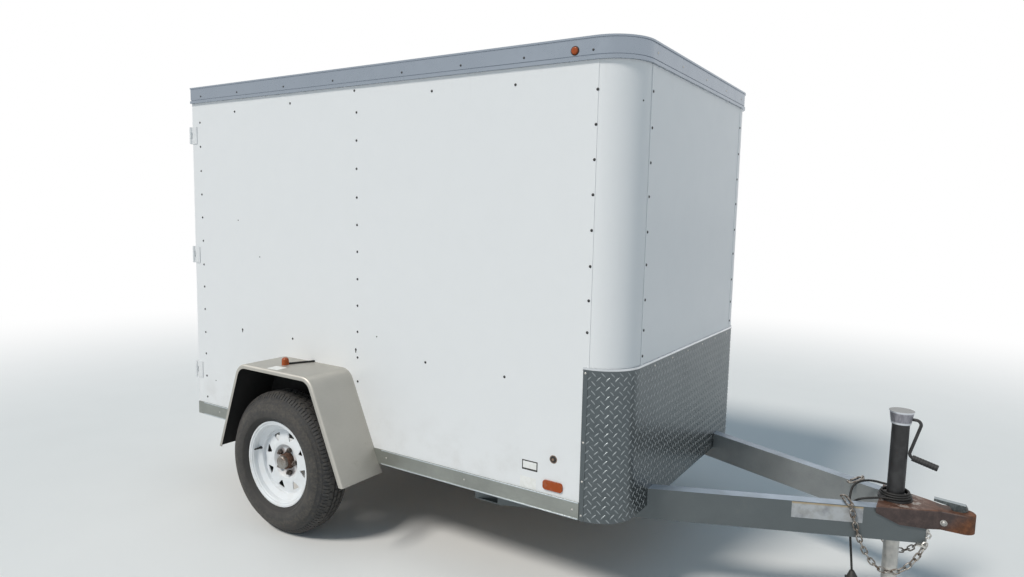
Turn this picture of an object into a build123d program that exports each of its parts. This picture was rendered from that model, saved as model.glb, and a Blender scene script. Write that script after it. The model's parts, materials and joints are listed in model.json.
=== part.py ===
from build123d import *
import os
from math import cos, hypot, pi, radians, sin, tan

# Single-axle enclosed cargo trailer with rounded front corners.
# Millimetres. +X points forward to the hitch, +Y to the left, +Z up, and the ground is z = 0.
# The origin is on the ground under the middle of the overall length and width.

# Box body
box_length = 2591.0
box_width = 1524.0
corner_radius = 150.0
wall = 40.0
rail_bottom = 386.0
rail_height = 68.0
rail_depth = 54.0
rail_proud = 6.0
floor_thickness = 19.0
roof_top = 2186.0
roof_thickness = 30.0
seam_behind_front = 165.0
seam_from_side = 170.0

# Roof trim band
trim_above_roof = 7.0
trim_height = 83.0
trim_proud = 12.0
trim_face = 8.0
trim_bead = 13.0
trim_groove = 5.0
trim_lip = 7.0
trim_inset = 16.0

# Stone guard
guard_bottom = 383.0
guard_height = 600.0
guard_behind_front = 161.0
guard_thickness = 2.0
guard_cap_height = 12.0
guard_cap_proud = 5.0
guard_margin = 100.0
passage_clearance = 1.0

# Rear frame and doors
post_width = 60.0
post_depth = 50.0
header_height = 60.0
header_cap_overlap = 12.0
door_thickness = 38.0
door_proud = 8.0
door_side_gap = 6.0
door_meeting_gap = 9.0
door_rim = 32.0
door_recess = 2.0

# Hinges of the rear doors
hinge_strap = 5.0
hinge_height = 90.0
hinge_radius = 9.0
pin_radius = 5.0
pin_clearance = 0.05
leaf_depth = 42.0
knuckle_gap = 0.5
hinge_swing_gap = 6.0
strap_on_door = 150.0
hinge_above_door_low = 161.0
hinge_below_door_high = 150.0
hinge_count = 3

# Lock bars of the rear doors
bar_radius = 12.5
bar_standoff = 22.0
bar_from_middle = 95.0
bar_overlap = 36.0
keeper_thickness = 6.0
keeper_gap = 8.0
keeper_height = 30.0
guide_height = 40.0
guide_width = 60.0
guide_wall = 4.0
bar_clearance = 0.3
handle_level = 1120.0
handle_length = 260.0
handle_height = 26.0
handle_thickness = 8.0

# Wheels
axle_behind_front = 1659.0
tyre_radius = 344.0
tyre_width = 198.0
wheel_from_side = 142.0
flange_radius = 207.0
seat_radius = 190.0
well_radius = 163.0
rim_half_width = 73.0
rim_sheet = 5.0
lip_depth = 12.0
lip_height = 7.0
tread_width = 62.0
groove_width = 7.0
groove_depth = 8.0
groove_pitch = 24.0
belly_drop = 18.0
shoulder_drop = 28.0
shoulder_inset = 30.0
crown_drop = 7.5
crown_inset = 47.0
sidewall = 12.0
crown_thickness = 22.0
bead_width = 17.0
bead_clearance = 0.3
seat_width = 28.0
seat_fall = 3.0
well_slope = 15.0
slope_shift = 3.0
disc_sheet = 4.0
disc_rise = 22.0
disc_dip = 9.0
crest_outside_bolts = 34.0
crest_slope = 17.0
crest_foot = 6.0
crest_fall = 5.0
hub_hole_radius = 42.0
bolt_circle = 114.3
window_count = 8
window_outer = 141.0
window_inner = 100.0
window_half_width = 26.0
window_corner = 5.0
window_turn = 6.5

# Hub, arm and axle beam
hub_flange_radius = 72.0
hub_flange_thickness = 9.0
hub_barrel_radius = 46.0
hub_barrel_length = 55.0
hub_nose_radius = 37.0
hub_nose_length = 30.0
cap_radius = 31.5
cap_reach = 51.0
cap_round = 7.0
spindle_radius = 17.0
spindle_clearance = 0.05
arm_length = 152.0
arm_thickness = 25.0
arm_end_radius = 30.0
beam_end_radius = 38.0
shoulder_radius = 24.0
shoulder_gap = 2.0
hub_end_wall = 4.0
beam_side = 64.0
beam_wall = 6.0
bracket_length = 150.0
bracket_width = 60.0
bracket_cheek = 6.0

# Fenders
fender_width = 250.0
fender_sheet = 3.0
fender_lip = 20.0
fender_bend = 75.0
fender_roll = 9.0
liner_sheet = 2.0
fender_top = 807.0
# Places behind the front face and heights of the four corners, from front to rear.
fender_corners = ((1185.0, 344.0), (1392.0, fender_top), (1895.0, fender_top), (2055.0, 365.0))

# Frame under the floor
cross_height = 51.0
cross_width = 38.0
cross_pitch = 406.0

# Tongue
tongue_height = 127.0
tongue_width = 50.8
tongue_sheet = 5.0
tongue_angle = 23.3
tongue_outer_y = 474.0
tongue_end = 968.0
mitre_gap = 2.0

# Coupler, with lengths ahead of the front face
coupler_sheet = 8.0
coupler_round = 6.0
coupler_margin = 100.0
coupler_rear = 800.0
ball_centre = 1085.0
neck_behind_ball = 70.0
nose_radius = 40.0
ball_bore_radius = 25.5
coupler_bottom = 389.0
# Lower edge of the side flanges: length ahead of the front face and height, from the rear.
flange_edge = ((coupler_rear, 436.0), (880.0, 396.0), (966.0, coupler_bottom))
latch_width = 26.0
latch_sheet = 3.0
# Side outline of the latch lever, ahead of the front face and above the coupler.
latch_outline = (
    (985.0, 34.0), (1090.0, 27.0), (1098.0, 12.0), (1084.0, 0.0), (1050.0, 0.0), (1036.0, 16.0), (985.0, 25.0),
)

# Jack
jack_ahead = 853.0
jack_radius = 31.75
jack_wall = 3.0
jack_bottom = 300.0
jack_hole_clearance = 0.3
jack_flange_radius = 62.0
jack_flange_thickness = 8.0
cap_bottom = 767.0
cap_height = 52.0
cap_band = 12.0
cap_low_radius = 35.5
cap_high_radius = 42.0
cap_lid_radius = 45.0
cap_lid_thickness = 4.0
leg_clearance = 0.35
leg_wall = 4.0
leg_top = 540.0
foot_radius = 58.0
foot_thickness = 6.0
crank_radius = 6.0
crank_bend = 18.0
grip_radius = 12.0
grip_length = 92.0
# Path of the crank: ahead of the jack's axis and height.
crank_path = ((34.0, 788.0), (74.0, 788.0), (34.0, 640.0), (136.0, 612.0))

# Lamps and small fittings, with places behind the front face
marker_behind = 234.0
marker_below_trim = 46.0
marker_radius = 14.0
marker_proud = 8.0
reflector_behind = 278.0
reflector_level = 492.0
reflector_length = 88.0
reflector_height = 38.0
reflector_proud = 7.0
reflector_corner = 12.0
fender_lamp_behind = 1693.0
fender_lamp_from_side = 130.0
fender_lamp_radius = 17.0
fender_lamp_height = 36.0
conduit_behind = 1633.0
conduit_radius = 4.5
vent_behind = 279.0
vent_level = 600.0
vent_radius = 13.0
vent_proud = 4.0
tail_lamp_length = 150.0
tail_lamp_height = 56.0
tail_lamp_proud = 9.0
tail_lamp_from_side = 162.0

# Safety chains, with lengths ahead of the front face. A link's wire has four sides.
chain_over = 712.0
chain_end = 958.0
chain_end_level = 310.0
chain_links = 19
link_wire = 3.2
link_length = 25.7
link_width = 11.0
link_flats = 4
link_play = 0.3
chain_gap = 0.5
hook_wire = 4.0
hook_length = 96.0
hook_width = 13.0
hook_mouth = 18.0
chain_bar_width = 30.0
chain_bar_thickness = 6.0
chain_bar_reach = 24.0
keeper_hook_ahead = 974.0
keeper_hook_radius = 3.0
# Path of the small hook under the coupler's right flange: ahead of its top and below the flange.
keeper_hook_path = ((0.0, 0.0), (0.0, 12.0), (13.0, 24.0), (7.0, 39.0), (-5.0, 36.0))

# Wiring lead: out of a gland on the right tube, round the foot of the jack and down to its plug
cable_radius = 4.5
gland_ahead = 604.0
gland_level = 372.0
gland_length = 26.0
gland_flange_radius = 11.0
gland_flange = 3.0
gland_nut_radius = 9.0
gland_neck_radius = 6.0
turn_radius = 54.0
turn_width = 20.0
turn_layers = 3
turn_gap = 0.3
bend_share = 0.45
plug_length = 88.0
plug_radius = 20.0
plug_skirt_radius = 23.0
plug_neck_radius = 8.0
plug_neck_length = 24.0
plug_socket_radius = 17.5
plug_socket_depth = 18.0
plug_skirt_length = 26.0
plug_key = 7.0

# Derived places
half_width = box_width / 2
trim_top = roof_top + trim_above_roof
trim_bottom = trim_top - trim_height
marker_level = trim_top - marker_below_trim
wheel_centre_y = half_width + wheel_from_side
fender_lamp_y = half_width + fender_lamp_from_side
tail_lamp_y = half_width - tail_lamp_from_side
rear_reach = door_proud + bar_standoff + bar_radius + guide_wall
nose_reach = ball_centre + nose_radius
front_x = (box_length + rear_reach - nose_reach) / 2
rear_x = front_x - box_length
rail_top = rail_bottom + rail_height
wall_top = roof_top - roof_thickness
floor_top = rail_top + floor_thickness
post_front_x = rear_x + post_depth
seam_x = front_x - seam_behind_front
seam_y = half_width - seam_from_side
guard_rear_x = front_x - guard_behind_front
guard_top = guard_bottom + guard_height
axle_x = front_x - axle_behind_front
axle_z = tyre_radius
tongue_top = rail_top
tongue_bottom = tongue_top - tongue_height
slope = tan(radians(tongue_angle))
coupler_top = tongue_top + coupler_sheet
coupler_neck = ball_centre - neck_behind_ball
door_low = floor_top + door_side_gap
door_high = wall_top - header_height - door_side_gap
door_outer_x = rear_x - door_proud
door_edge_y = half_width - post_width - door_side_gap
hinge_x = door_outer_x - hinge_strap / 2
hinge_y = half_width + hinge_strap / 2
hinge_lowest = door_low + hinge_above_door_low
hinge_pitch = (door_high - hinge_below_door_high - hinge_lowest) / (hinge_count - 1)
hinge_levels = [hinge_lowest + i * hinge_pitch for i in range(hinge_count)]
bar_x = door_outer_x - bar_standoff
jack_x = front_x + jack_ahead
tongue_centre_y = tongue_outer_y - tongue_width / 2 / cos(radians(tongue_angle))

parts = {}


def behind(distance):
    """X of a place that lies a distance behind the front face."""
    return front_x - distance


def block(x_range, y_range, z_range):
    """Box between two places on each axis."""
    (x0, x1), (y0, y1), (z0, z1) = x_range, y_range, z_range
    return Pos((x0 + x1) / 2, (y0 + y1) / 2, (z0 + z1) / 2) * Box(abs(x1 - x0), abs(y1 - y0), abs(z1 - z0))


def slab(face, low, high):
    return extrude(Pos(0, 0, low) * face, high - low)


def footprint(offset, rear=rear_x):
    """Plan of the box grown by an offset at the front and sides, with its two round corners."""
    nose = front_x + offset
    plan = Pos((rear + nose) / 2, 0) * Rectangle(nose - rear, 2 * (half_width + offset))
    return fillet(plan.vertices().sort_by(Axis.X)[-2:], corner_radius + offset)


def ring(outer, inner, low, high, rear=rear_x):
    """Upright U-shaped band round the front, between two offsets of the plan."""
    return slab(footprint(outer, rear) - footprint(inner, rear - 1), low, high)


def side_profile(points, y, thickness):
    """Plate in the XZ plane from points (x, z), from y towards the left by its thickness."""
    face = make_face(Polyline(*[(x, 0, z) for x, z in points], close=True))
    return Pos(0, y, 0) * extrude(face, thickness, dir=(0, 1, 0))


def rod(start, end, radius):
    """Round bar between two points."""
    line = Line(start, end)
    return sweep(Plane(origin=start, z_dir=line % 0) * Circle(radius), path=line)


def mirrored(shape):
    return mirror(shape, about=Plane.XZ)


def add_pair(node, right):
    """Keep a piece of the right side and its mirror image of the left side."""
    parts[node + "_right"] = right
    parts[node + "_left"] = mirrored(right)


def both(right):
    """One node of two like solids, one on each side."""
    return Compound(children=[right, mirrored(right)])


# Tongue tubes, which run from the side rails to the coupler
def tongue_tube(growth=0.0):
    """Right tongue tube's outside as a bar, grown for a passage round it."""
    length = 2 * (tongue_end + box_length)
    bar = Box(length, tongue_width + 2 * growth, tongue_height + 2 * growth)
    return Pos(front_x, -tongue_centre_y, (tongue_top + tongue_bottom) / 2) * Rot(0, 0, tongue_angle) * bar


def tongue():
    bore = Box(4 * (tongue_end + box_length), tongue_width - 2 * tongue_sheet, tongue_height - 2 * tongue_sheet)
    place = Pos(front_x, -tongue_centre_y, (tongue_top + tongue_bottom) / 2) * Rot(0, 0, tongue_angle)
    reach = block(
        (rear_x, front_x + tongue_end),
        (-(half_width + rail_proud - rail_depth), -mitre_gap / 2),
        (tongue_bottom, tongue_top),
    )
    return (tongue_tube() - place * bore) & reach


add_pair("tongue", tongue())
passages = tongue_tube() + mirrored(tongue_tube())
wide_passages = tongue_tube(passage_clearance) + mirrored(tongue_tube(passage_clearance))

# Side rails, front rail, cross members and floor
rail_inner_y = half_width + rail_proud - rail_depth
side_rail = block((rear_x, guard_rear_x), (-(half_width + rail_proud), -rail_inner_y), (rail_bottom, rail_top))
parts["side_rails"] = both(side_rail)
front_rail = ring(0, -(half_width - rail_inner_y), rail_bottom, rail_top, guard_rear_x)
parts["front_rail"] = Compound(children=list((front_rail - passages).solids()))
cross_bars = []
cross_x = behind(cross_pitch)
while cross_x > rear_x + cross_pitch / 2:
    bar = block(
        (cross_x - cross_width, cross_x), (-rail_inner_y, rail_inner_y), (rail_top - cross_height, rail_top)
    )
    cross_bars += (bar - passages).solids()
    cross_x -= cross_pitch
parts["cross_members"] = Compound(children=cross_bars)
parts["floor"] = slab(footprint(-wall, post_front_x), rail_top, floor_top)

# Walls and roof
add_pair("side_wall", block((post_front_x, seam_x), (-half_width, wall - half_width), (rail_top, wall_top)))
corner_zone = block((seam_x, front_x), (-half_width, -seam_y), (rail_top, wall_top))
parts["front_corners"] = both(ring(0, -wall, rail_top, wall_top) & corner_zone)
parts["front_wall"] = block((front_x - wall, front_x), (-seam_y, seam_y), (rail_top, wall_top))
parts["roof"] = slab(footprint(0), wall_top, roof_top)

# Roof trim: bead, groove, flat band and top lip
band_low = trim_bottom + trim_bead + trim_groove
lip_low = trim_top - trim_lip
parts["roof_trim"] = (
    ring(trim_proud, 0, trim_bottom, trim_bottom + trim_bead)
    + ring(trim_face / 2, 0, trim_bottom + trim_bead, band_low)
    + ring(trim_face, 0, band_low, lip_low)
    + ring(trim_proud, -trim_inset, lip_low, trim_top)
)

# Stone guard over the lower front and both corners, with its cap strip
guard_zone = block((guard_rear_x, front_x + guard_margin), (-box_width, box_width), (0, roof_top))
guard = ring(guard_thickness, 0, guard_bottom, guard_top) & guard_zone
parts["stone_guard"] = guard - wide_passages
guard_cap = ring(guard_cap_proud, guard_thickness, guard_top - guard_cap_height, guard_top + guard_thickness)
parts["guard_cap"] = guard_cap & guard_zone

# Rear frame
rear_post = block((rear_x, post_front_x), (-half_width, post_width - half_width), (rail_top, wall_top))
parts["rear_posts"] = both(rear_post)
doorway_y = half_width - post_width
header_low = wall_top - header_height
header_cap = block(
    (rear_x - trim_face, rear_x), (-half_width, half_width), (wall_top - header_cap_overlap, roof_top)
)
header = block((rear_x, post_front_x), (-doorway_y, doorway_y), (header_low, wall_top))
parts["rear_header"] = header + header_cap
parts["rear_sill"] = block(
    (rear_x, post_front_x), (-rail_inner_y, rail_inner_y), (rail_bottom, rail_top)
) + block((rear_x, post_front_x), (-doorway_y, doorway_y), (rail_top, floor_top))


# Rear doors
def door_panel():
    y_range = (-door_edge_y, -door_meeting_gap / 2)
    panel = block((door_outer_x, door_outer_x + door_thickness), y_range, (door_low, door_high))
    field = block(
        (door_outer_x, door_outer_x + door_recess),
        (y_range[0] + door_rim, y_range[1] - door_rim),
        (door_low + door_rim, door_high - door_rim),
    )
    return panel - field


def hinge_fixed(level):
    """Leaf on the side of the post, with the outer knuckles and the pin."""
    pin_place = Pos(hinge_x, -hinge_y, level)
    leaf = block(
        (hinge_x, rear_x + leaf_depth),
        (-(half_width + hinge_strap), -half_width),
        (level - hinge_height / 2, level + hinge_height / 2),
    )
    knuckle = pin_place * Cylinder(hinge_radius, hinge_height)
    middle = pin_place * Cylinder(hinge_radius + hinge_swing_gap, hinge_height / 3 + 2 * knuckle_gap)
    pin = pin_place * Cylinder(pin_radius, hinge_height)
    return leaf + knuckle - middle + pin


def hinge_moving(level):
    """Strap on the door, with the middle knuckle."""
    pin_place = Pos(hinge_x, -hinge_y, level)
    strap = block(
        (hinge_x - hinge_strap / 2, door_outer_x),
        (-hinge_y, -door_edge_y + strap_on_door),
        (level - hinge_height / 6, level + hinge_height / 6),
    )
    knuckle = pin_place * Cylinder(hinge_radius, hinge_height / 3)
    bore = pin_place * Cylinder(pin_radius + pin_clearance, hinge_height / 3)
    return strap + knuckle - bore


add_pair("door_panel", door_panel())
right_leaves = [hinge_fixed(level) for level in hinge_levels]
parts["hinge_leaves"] = Compound(children=right_leaves + [mirrored(leaf) for leaf in right_leaves])


# Lock bars with their cams and handles, guides on the doors, and keepers on the frame
def lock_bar():
    low = door_low - bar_overlap
    high = door_high + bar_overlap
    bar = Pos(bar_x, -bar_from_middle, (low + high) / 2) * Cylinder(bar_radius, high - low)
    handle = block(
        (bar_x - handle_thickness / 2, bar_x + handle_thickness / 2),
        (-bar_from_middle - handle_length, -bar_from_middle),
        (handle_level - handle_height / 2, handle_level + handle_height / 2),
    )
    return bar + handle


def bar_guide(level):
    pad = block(
        (bar_x - bar_radius - guide_wall, door_outer_x),
        (-bar_from_middle - guide_width / 2, -bar_from_middle + guide_width / 2),
        (level - guide_height / 2, level + guide_height / 2),
    )
    return pad - Pos(bar_x, -bar_from_middle, level) * Cylinder(bar_radius + bar_clearance, guide_height)


def handle_catch():
    y = -bar_from_middle - handle_length + 2 * handle_height
    return block(
        (bar_x + handle_thickness / 2, door_outer_x),
        (y - handle_height / 2, y + handle_height / 2),
        (handle_level - handle_height / 2, handle_level + handle_height / 2),
    )


def keeper(level):
    """Two lugs that stand each side of a bar's end."""
    reach = bar_radius + keeper_gap
    lugs = []
    for near in (-bar_from_middle - reach - keeper_thickness, -bar_from_middle + reach):
        lugs.append(
            block(
                (bar_x - bar_radius, rear_x),
                (near, near + keeper_thickness),
                (level - keeper_height / 2, level + keeper_height / 2),
            )
        )
    return lugs


guide_levels = (door_low + guide_height, handle_level - 3 * guide_height, door_high - guide_height)
keeper_levels = (door_low - bar_overlap + keeper_height / 2, door_high + bar_overlap - keeper_height / 2)
add_pair("lock_bar", lock_bar())
guides = [bar_guide(level) for level in guide_levels] + [handle_catch()]
add_pair("door_fittings", Compound(children=guides + [hinge_moving(level) for level in hinge_levels]))
right_lugs = [lug for level in keeper_levels for lug in keeper(level)]
parts["lock_keepers"] = Compound(children=right_lugs + [mirrored(lug) for lug in right_lugs])


# Wheels, turned about their own axis
def turned(curve):
    """Solid of revolution from a section in (outward place, radius), put at the right wheel."""
    return Pos(axle_x, -wheel_centre_y, axle_z) * revolve(make_face(curve), Axis.Y)


def out(place, radius):
    """Point of a section, from the outward place and the radius."""
    return (0, -place, radius)


def tyre_side(side, belly, foot, shoulder):
    """One side of a tyre's section: from the foot out to the belly, widest there, and in to the shoulder."""
    (belly_place, belly_radius), foot_point, shoulder_point = belly, foot, shoulder
    widest = out(side * belly_place, belly_radius)
    lower = TangentArc(widest, out(side * foot_point[0], foot_point[1]), tangent=(0, 0, -1))
    upper = TangentArc(widest, out(side * shoulder_point[0], shoulder_point[1]), tangent=(0, 0, 1))
    return lower + upper


def tyre():
    bead = rim_half_width - rim_sheet - bead_clearance
    seat = seat_radius + bead_clearance
    foot = flange_radius + 2 * bead_clearance
    half = tyre_width / 2
    belly_radius = (flange_radius + tyre_radius) / 2 - belly_drop
    shoulder = (half - shoulder_inset, tyre_radius - shoulder_drop)
    section = Polyline(out(-bead, foot), out(-bead, seat), out(bead, seat), out(bead, foot))
    for side in (1, -1):
        section += tyre_side(side, (half, belly_radius), (bead, foot), shoulder)
        section += ThreePointArc(
            out(side * shoulder[0], shoulder[1]),
            out(side * (half - crown_inset), tyre_radius - crown_drop),
            out(side * tread_width / 2, tyre_radius),
        )
    section += Line(out(tread_width / 2, tyre_radius), out(-tread_width / 2, tyre_radius))
    mouth = bead - bead_width
    ceiling = (shoulder[0] - sidewall, tyre_radius - crown_thickness)
    hollow = Polyline(out(-mouth, foot), out(-mouth, seat - 1), out(mouth, seat - 1), out(mouth, foot))
    for side in (1, -1):
        hollow += tyre_side(side, (half - sidewall, belly_radius), (mouth, foot), ceiling)
    hollow += Line(out(ceiling[0], ceiling[1]), out(-ceiling[0], ceiling[1]))
    body = turned(section) - turned(hollow)
    for step in (-1, 0, 1):
        low, high = step * groove_pitch - groove_width / 2, step * groove_pitch + groove_width / 2
        base, top = tyre_radius - groove_depth, tyre_radius + 1
        groove = Polyline(out(low, base), out(high, base), out(high, top), out(low, top), close=True)
        body -= turned(groove)
    return body


def rim():
    """Drop-centre rim with its spoked disc and triangular windows."""
    edge = rim_half_width
    seat_end = edge - rim_sheet - seat_width
    slope_end = seat_end - well_slope
    # One half of the barrel (outward place, radius): its tyre side from the flange to the well, then its hollow side.
    tyre_half = [
        (edge, flange_radius),
        (edge - rim_sheet, flange_radius),
        (edge - rim_sheet, seat_radius),
        (seat_end, seat_radius - seat_fall),
        (slope_end, well_radius),
    ]
    hollow_half = [
        (slope_end + slope_shift, well_radius - rim_sheet),
        (seat_end + slope_shift, seat_radius - seat_fall - rim_sheet),
        (edge - lip_depth, seat_radius - rim_sheet),
        (edge, flange_radius - lip_height),
    ]
    barrel = tyre_half + [(-a, r) for a, r in reversed(tyre_half)]
    barrel += [(-a, r) for a, r in reversed(hollow_half)] + hollow_half
    barrel_solid = turned(Polyline(*[out(a, r) for a, r in barrel], close=True))
    crest = bolt_circle / 2 + crest_outside_bolts
    joint = well_radius - rim_sheet / 2
    under = disc_rise - disc_sheet
    # The disc's back from the hub to the well, then its face back to the hub.
    disc = [
        (0, hub_hole_radius),
        (0, crest - crest_slope - crest_foot),
        (under, crest - crest_foot),
        (under, crest),
        (under - disc_dip, joint),
        (disc_rise - disc_dip, joint),
        (disc_rise, crest + crest_fall),
        (disc_rise, crest - crest_foot - crest_fall / 2),
        (disc_sheet, crest - crest_slope - crest_foot - crest_fall / 2),
        (disc_sheet, hub_hole_radius),
    ]
    disc_solid = turned(Polyline(*[out(a, r) for a, r in disc], close=True))
    triangle = Polyline(
        (-window_half_width, 0, window_outer),
        (window_half_width, 0, window_outer),
        (0, 0, window_inner),
        close=True,
    )
    window = extrude(fillet(make_face(triangle).vertices(), window_corner), 2 * rim_half_width, both=True)
    for i in range(window_count):
        turn = 360 * (i + 0.5) / window_count - window_turn
        disc_solid -= Pos(axle_x, -wheel_centre_y, axle_z) * Rot(0, turn, 0) * window
    return barrel_solid + disc_solid


def hub():
    profile = [
        (-hub_barrel_length - hub_flange_thickness, spindle_radius + spindle_clearance),
        (-hub_barrel_length - hub_flange_thickness, hub_barrel_radius),
        (-hub_flange_thickness, hub_barrel_radius),
        (-hub_flange_thickness, hub_flange_radius),
        (0, hub_flange_radius),
        (0, hub_nose_radius),
        (hub_nose_length, hub_nose_radius),
        (hub_nose_length, 0),
        (hub_nose_length - hub_end_wall, 0),
        (hub_nose_length - hub_end_wall, spindle_radius + spindle_clearance),
    ]
    return turned(Polyline(*[out(a, r) for a, r in profile], close=True))


def hub_cap():
    """Dust cap with a round edge that closes the nose of the hub."""
    edge, flat = cap_reach - cap_round, cap_radius - cap_round
    profile = (
        Polyline(out(cap_reach, 0), out(hub_nose_length, 0), out(hub_nose_length, cap_radius), out(edge, cap_radius))
        + TangentArc(out(edge, cap_radius), out(cap_reach, flat), tangent=(0, -1, 0))
        + Line(out(cap_reach, flat), out(cap_reach, 0))
    )
    return turned(profile)


add_pair("tyre", tyre())
add_pair("rim", rim())
add_pair("hub", hub() + hub_cap())

# Axle: beam under the frame, trailing arms with spindles, and brackets
def side_disc(x, radius, y, thickness):
    """Disc that faces the side, from y outward to the right by its thickness."""
    return Pos(x, y - thickness / 2, axle_z) * Rot(90, 0, 0) * Cylinder(radius, thickness)


def axle_arm():
    arm = side_disc(beam_x, beam_end_radius, -beam_reach, arm_thickness)
    arm += side_disc(axle_x, arm_end_radius, -beam_reach, arm_thickness)
    arm += block(
        (axle_x, beam_x),
        (-beam_reach - arm_thickness, -beam_reach),
        (axle_z - arm_end_radius, axle_z + arm_end_radius),
    )
    hub_inner = wheel_centre_y - hub_barrel_length - hub_flange_thickness
    shoulder_length = hub_inner - shoulder_gap - beam_reach - arm_thickness
    arm += side_disc(axle_x, shoulder_radius, -beam_reach - arm_thickness, shoulder_length)
    spindle_end = wheel_centre_y + hub_nose_length - hub_end_wall - shoulder_gap
    arm += side_disc(axle_x, spindle_radius, -beam_reach, spindle_end - beam_reach)
    return arm


def axle_bracket():
    """Plate between the beam and the side rail, with a cheek before and behind the beam."""
    y_range = (-beam_reach, bracket_width - beam_reach)
    plate = block(
        (beam_x - bracket_length / 2, beam_x + bracket_length / 2), y_range, (beam_top, rail_bottom)
    )
    for side in (-1, 1):
        near = beam_x + side * beam_side / 2
        plate += block((near, near + side * bracket_cheek), y_range, (axle_z, beam_top))
    return plate


beam_x = axle_x + arm_length
beam_reach = half_width + rail_proud
beam_top = axle_z + beam_side / 2
beam = Pos(beam_x, 0, axle_z) * (
    Box(beam_side, 2 * beam_reach, beam_side)
    - Box(beam_side - 2 * beam_wall, 2 * beam_reach, beam_side - 2 * beam_wall)
)
parts["axle_beam"] = beam + axle_bracket() + mirrored(axle_bracket())
parts["axle_arms"] = both(axle_arm())


# Fenders of folded sheet with a turned-in outer lip, and the dark liners behind the wheels
def fender_plan(inset, drop):
    """Side outline of a fender, inset from its outer face and lengthened below by a drop."""
    (x0, z0), (x1, z1), (x2, z2), (x3, z3) = [(behind(d), z) for d, z in fender_corners]
    lean_front, lean_rear = (x0 - x1) / (z1 - z0), (x2 - x3) / (z2 - z3)
    outline = make_face(
        Polyline(
            (x0 + lean_front * drop, 0, z0 - drop), (x1, 0, z1), (x2, 0, z2), (x3 - lean_rear * drop, 0, z3 - drop),
            close=True,
        )
    )
    outline = fillet(outline.vertices().sort_by(Axis.Z)[-2:], fender_bend)
    return offset(outline, -inset, kind=Kind.INTERSECTION) if inset else outline


def across(face, near, far):
    """Extrude a side outline between two places on Y."""
    return Pos(0, near, 0) * extrude(face, far - near, dir=(0, 1, 0))


def rolled(outline, near, far, radius):
    """Extruded side outline whose edge on the outer face is round, apart from its open lower edge."""
    solid = across(outline, near, far)
    rim_edges = solid.edges().filter_by_position(Axis.Y, near - 1, near + 1).sort_by(Axis.Z)[1:]
    return fillet(rim_edges, radius)


def fender():
    outer_y = -half_width - fender_width
    solid = rolled(fender_plan(0, 0), outer_y, -half_width, fender_roll)
    solid -= rolled(
        fender_plan(fender_sheet, 4 * fender_lip), outer_y + fender_sheet, -half_width, fender_roll - fender_sheet
    )
    solid -= across(fender_plan(fender_lip, 4 * fender_lip), outer_y, -half_width)
    return solid - side_rail


add_pair("fender", fender())
liner = across(fender_plan(fender_sheet, 0), -half_width - liner_sheet, -half_width)
parts["wheel_liners"] = both(liner & block((rear_x, front_x), (-box_width, 0), (rail_top, roof_top)))


# Lamps, reflectors, side vent
def round_lamp(x, y, z, radius, proud):
    """Domed lamp on a face that looks to the right."""
    body = Rot(90, 0, 0) * Cylinder(radius, proud)
    body = fillet(body.edges().sort_by(Axis.Y)[0], proud * 0.7)
    return Pos(x, y - proud / 2, z) * body


def side_lamp(x, z, length, height, proud, corner):
    plate = fillet(Rectangle(length, height).vertices(), corner)
    return Pos(x, -half_width - proud, z) * Rot(90, 0, 0) * extrude(plate, -proud)


parts["marker_lamps"] = both(
    round_lamp(behind(marker_behind), -half_width - trim_face, marker_level, marker_radius, marker_proud)
)
parts["side_reflectors"] = both(
    side_lamp(
        behind(reflector_behind), reflector_level, reflector_length, reflector_height, reflector_proud,
        reflector_corner,
    )
)
parts["side_vent"] = round_lamp(behind(vent_behind), -half_width, vent_level, vent_radius, vent_proud)
fender_lamp = Pos(behind(fender_lamp_behind), -fender_lamp_y, fender_top + fender_lamp_height / 2) * Cylinder(
    fender_lamp_radius, fender_lamp_height
)
fender_lamp = fillet(fender_lamp.edges().sort_by(Axis.Z)[-1], fender_lamp_radius * 0.8)
conduit_start = (behind(fender_lamp_behind), -fender_lamp_y, fender_top + conduit_radius)
conduit_end = (behind(conduit_behind), conduit_radius - half_width, fender_top + conduit_radius)
conduit = rod(conduit_start, conduit_end, conduit_radius)
conduit &= block((rear_x, front_x), (-half_width - fender_width, -half_width), (fender_top, roof_top))
parts["fender_lamps"] = both(fender_lamp + conduit)
tail_lamp = block(
    (rear_x - tail_lamp_proud, rear_x),
    (-tail_lamp_y - tail_lamp_length / 2, -tail_lamp_y + tail_lamp_length / 2),
    (rail_bottom + (rail_height - tail_lamp_height) / 2, rail_top - (rail_height - tail_lamp_height) / 2),
)
parts["tail_lamps"] = both(fillet(tail_lamp.edges().filter_by(Axis.X), tail_lamp_height * 0.3))


# Coupler over the ends of the tongue tubes
def tube_side_y(ahead, outside=0.0):
    """Half width across the tongue tubes at a place ahead of the front face, or that far outside them."""
    return tongue_outer_y - ahead * slope + outside / cos(radians(tongue_angle))


def coupler_plan(inset):
    """Plan of the coupler, inset from its outside."""
    rear, end, neck, ball = [front_x + d for d in (coupler_rear, tongue_end, coupler_neck, ball_centre)]
    rear_y = tube_side_y(coupler_rear, coupler_sheet - inset)
    end_y = tube_side_y(tongue_end, coupler_sheet - inset)
    nose = nose_radius - inset
    start = rear - (coupler_margin if inset else 0)
    start_y = rear_y + (rear - start) * slope
    curve = (
        Polyline((ball, nose), (neck, nose), (end, end_y), (start, start_y))
        + Line((start, start_y), (start, -start_y))
        + Polyline((start, -start_y), (end, -end_y), (neck, -nose), (ball, -nose))
        + ThreePointArc((ball, -nose), (ball + nose, 0), (ball, nose))
    )
    return make_face(curve)


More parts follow.
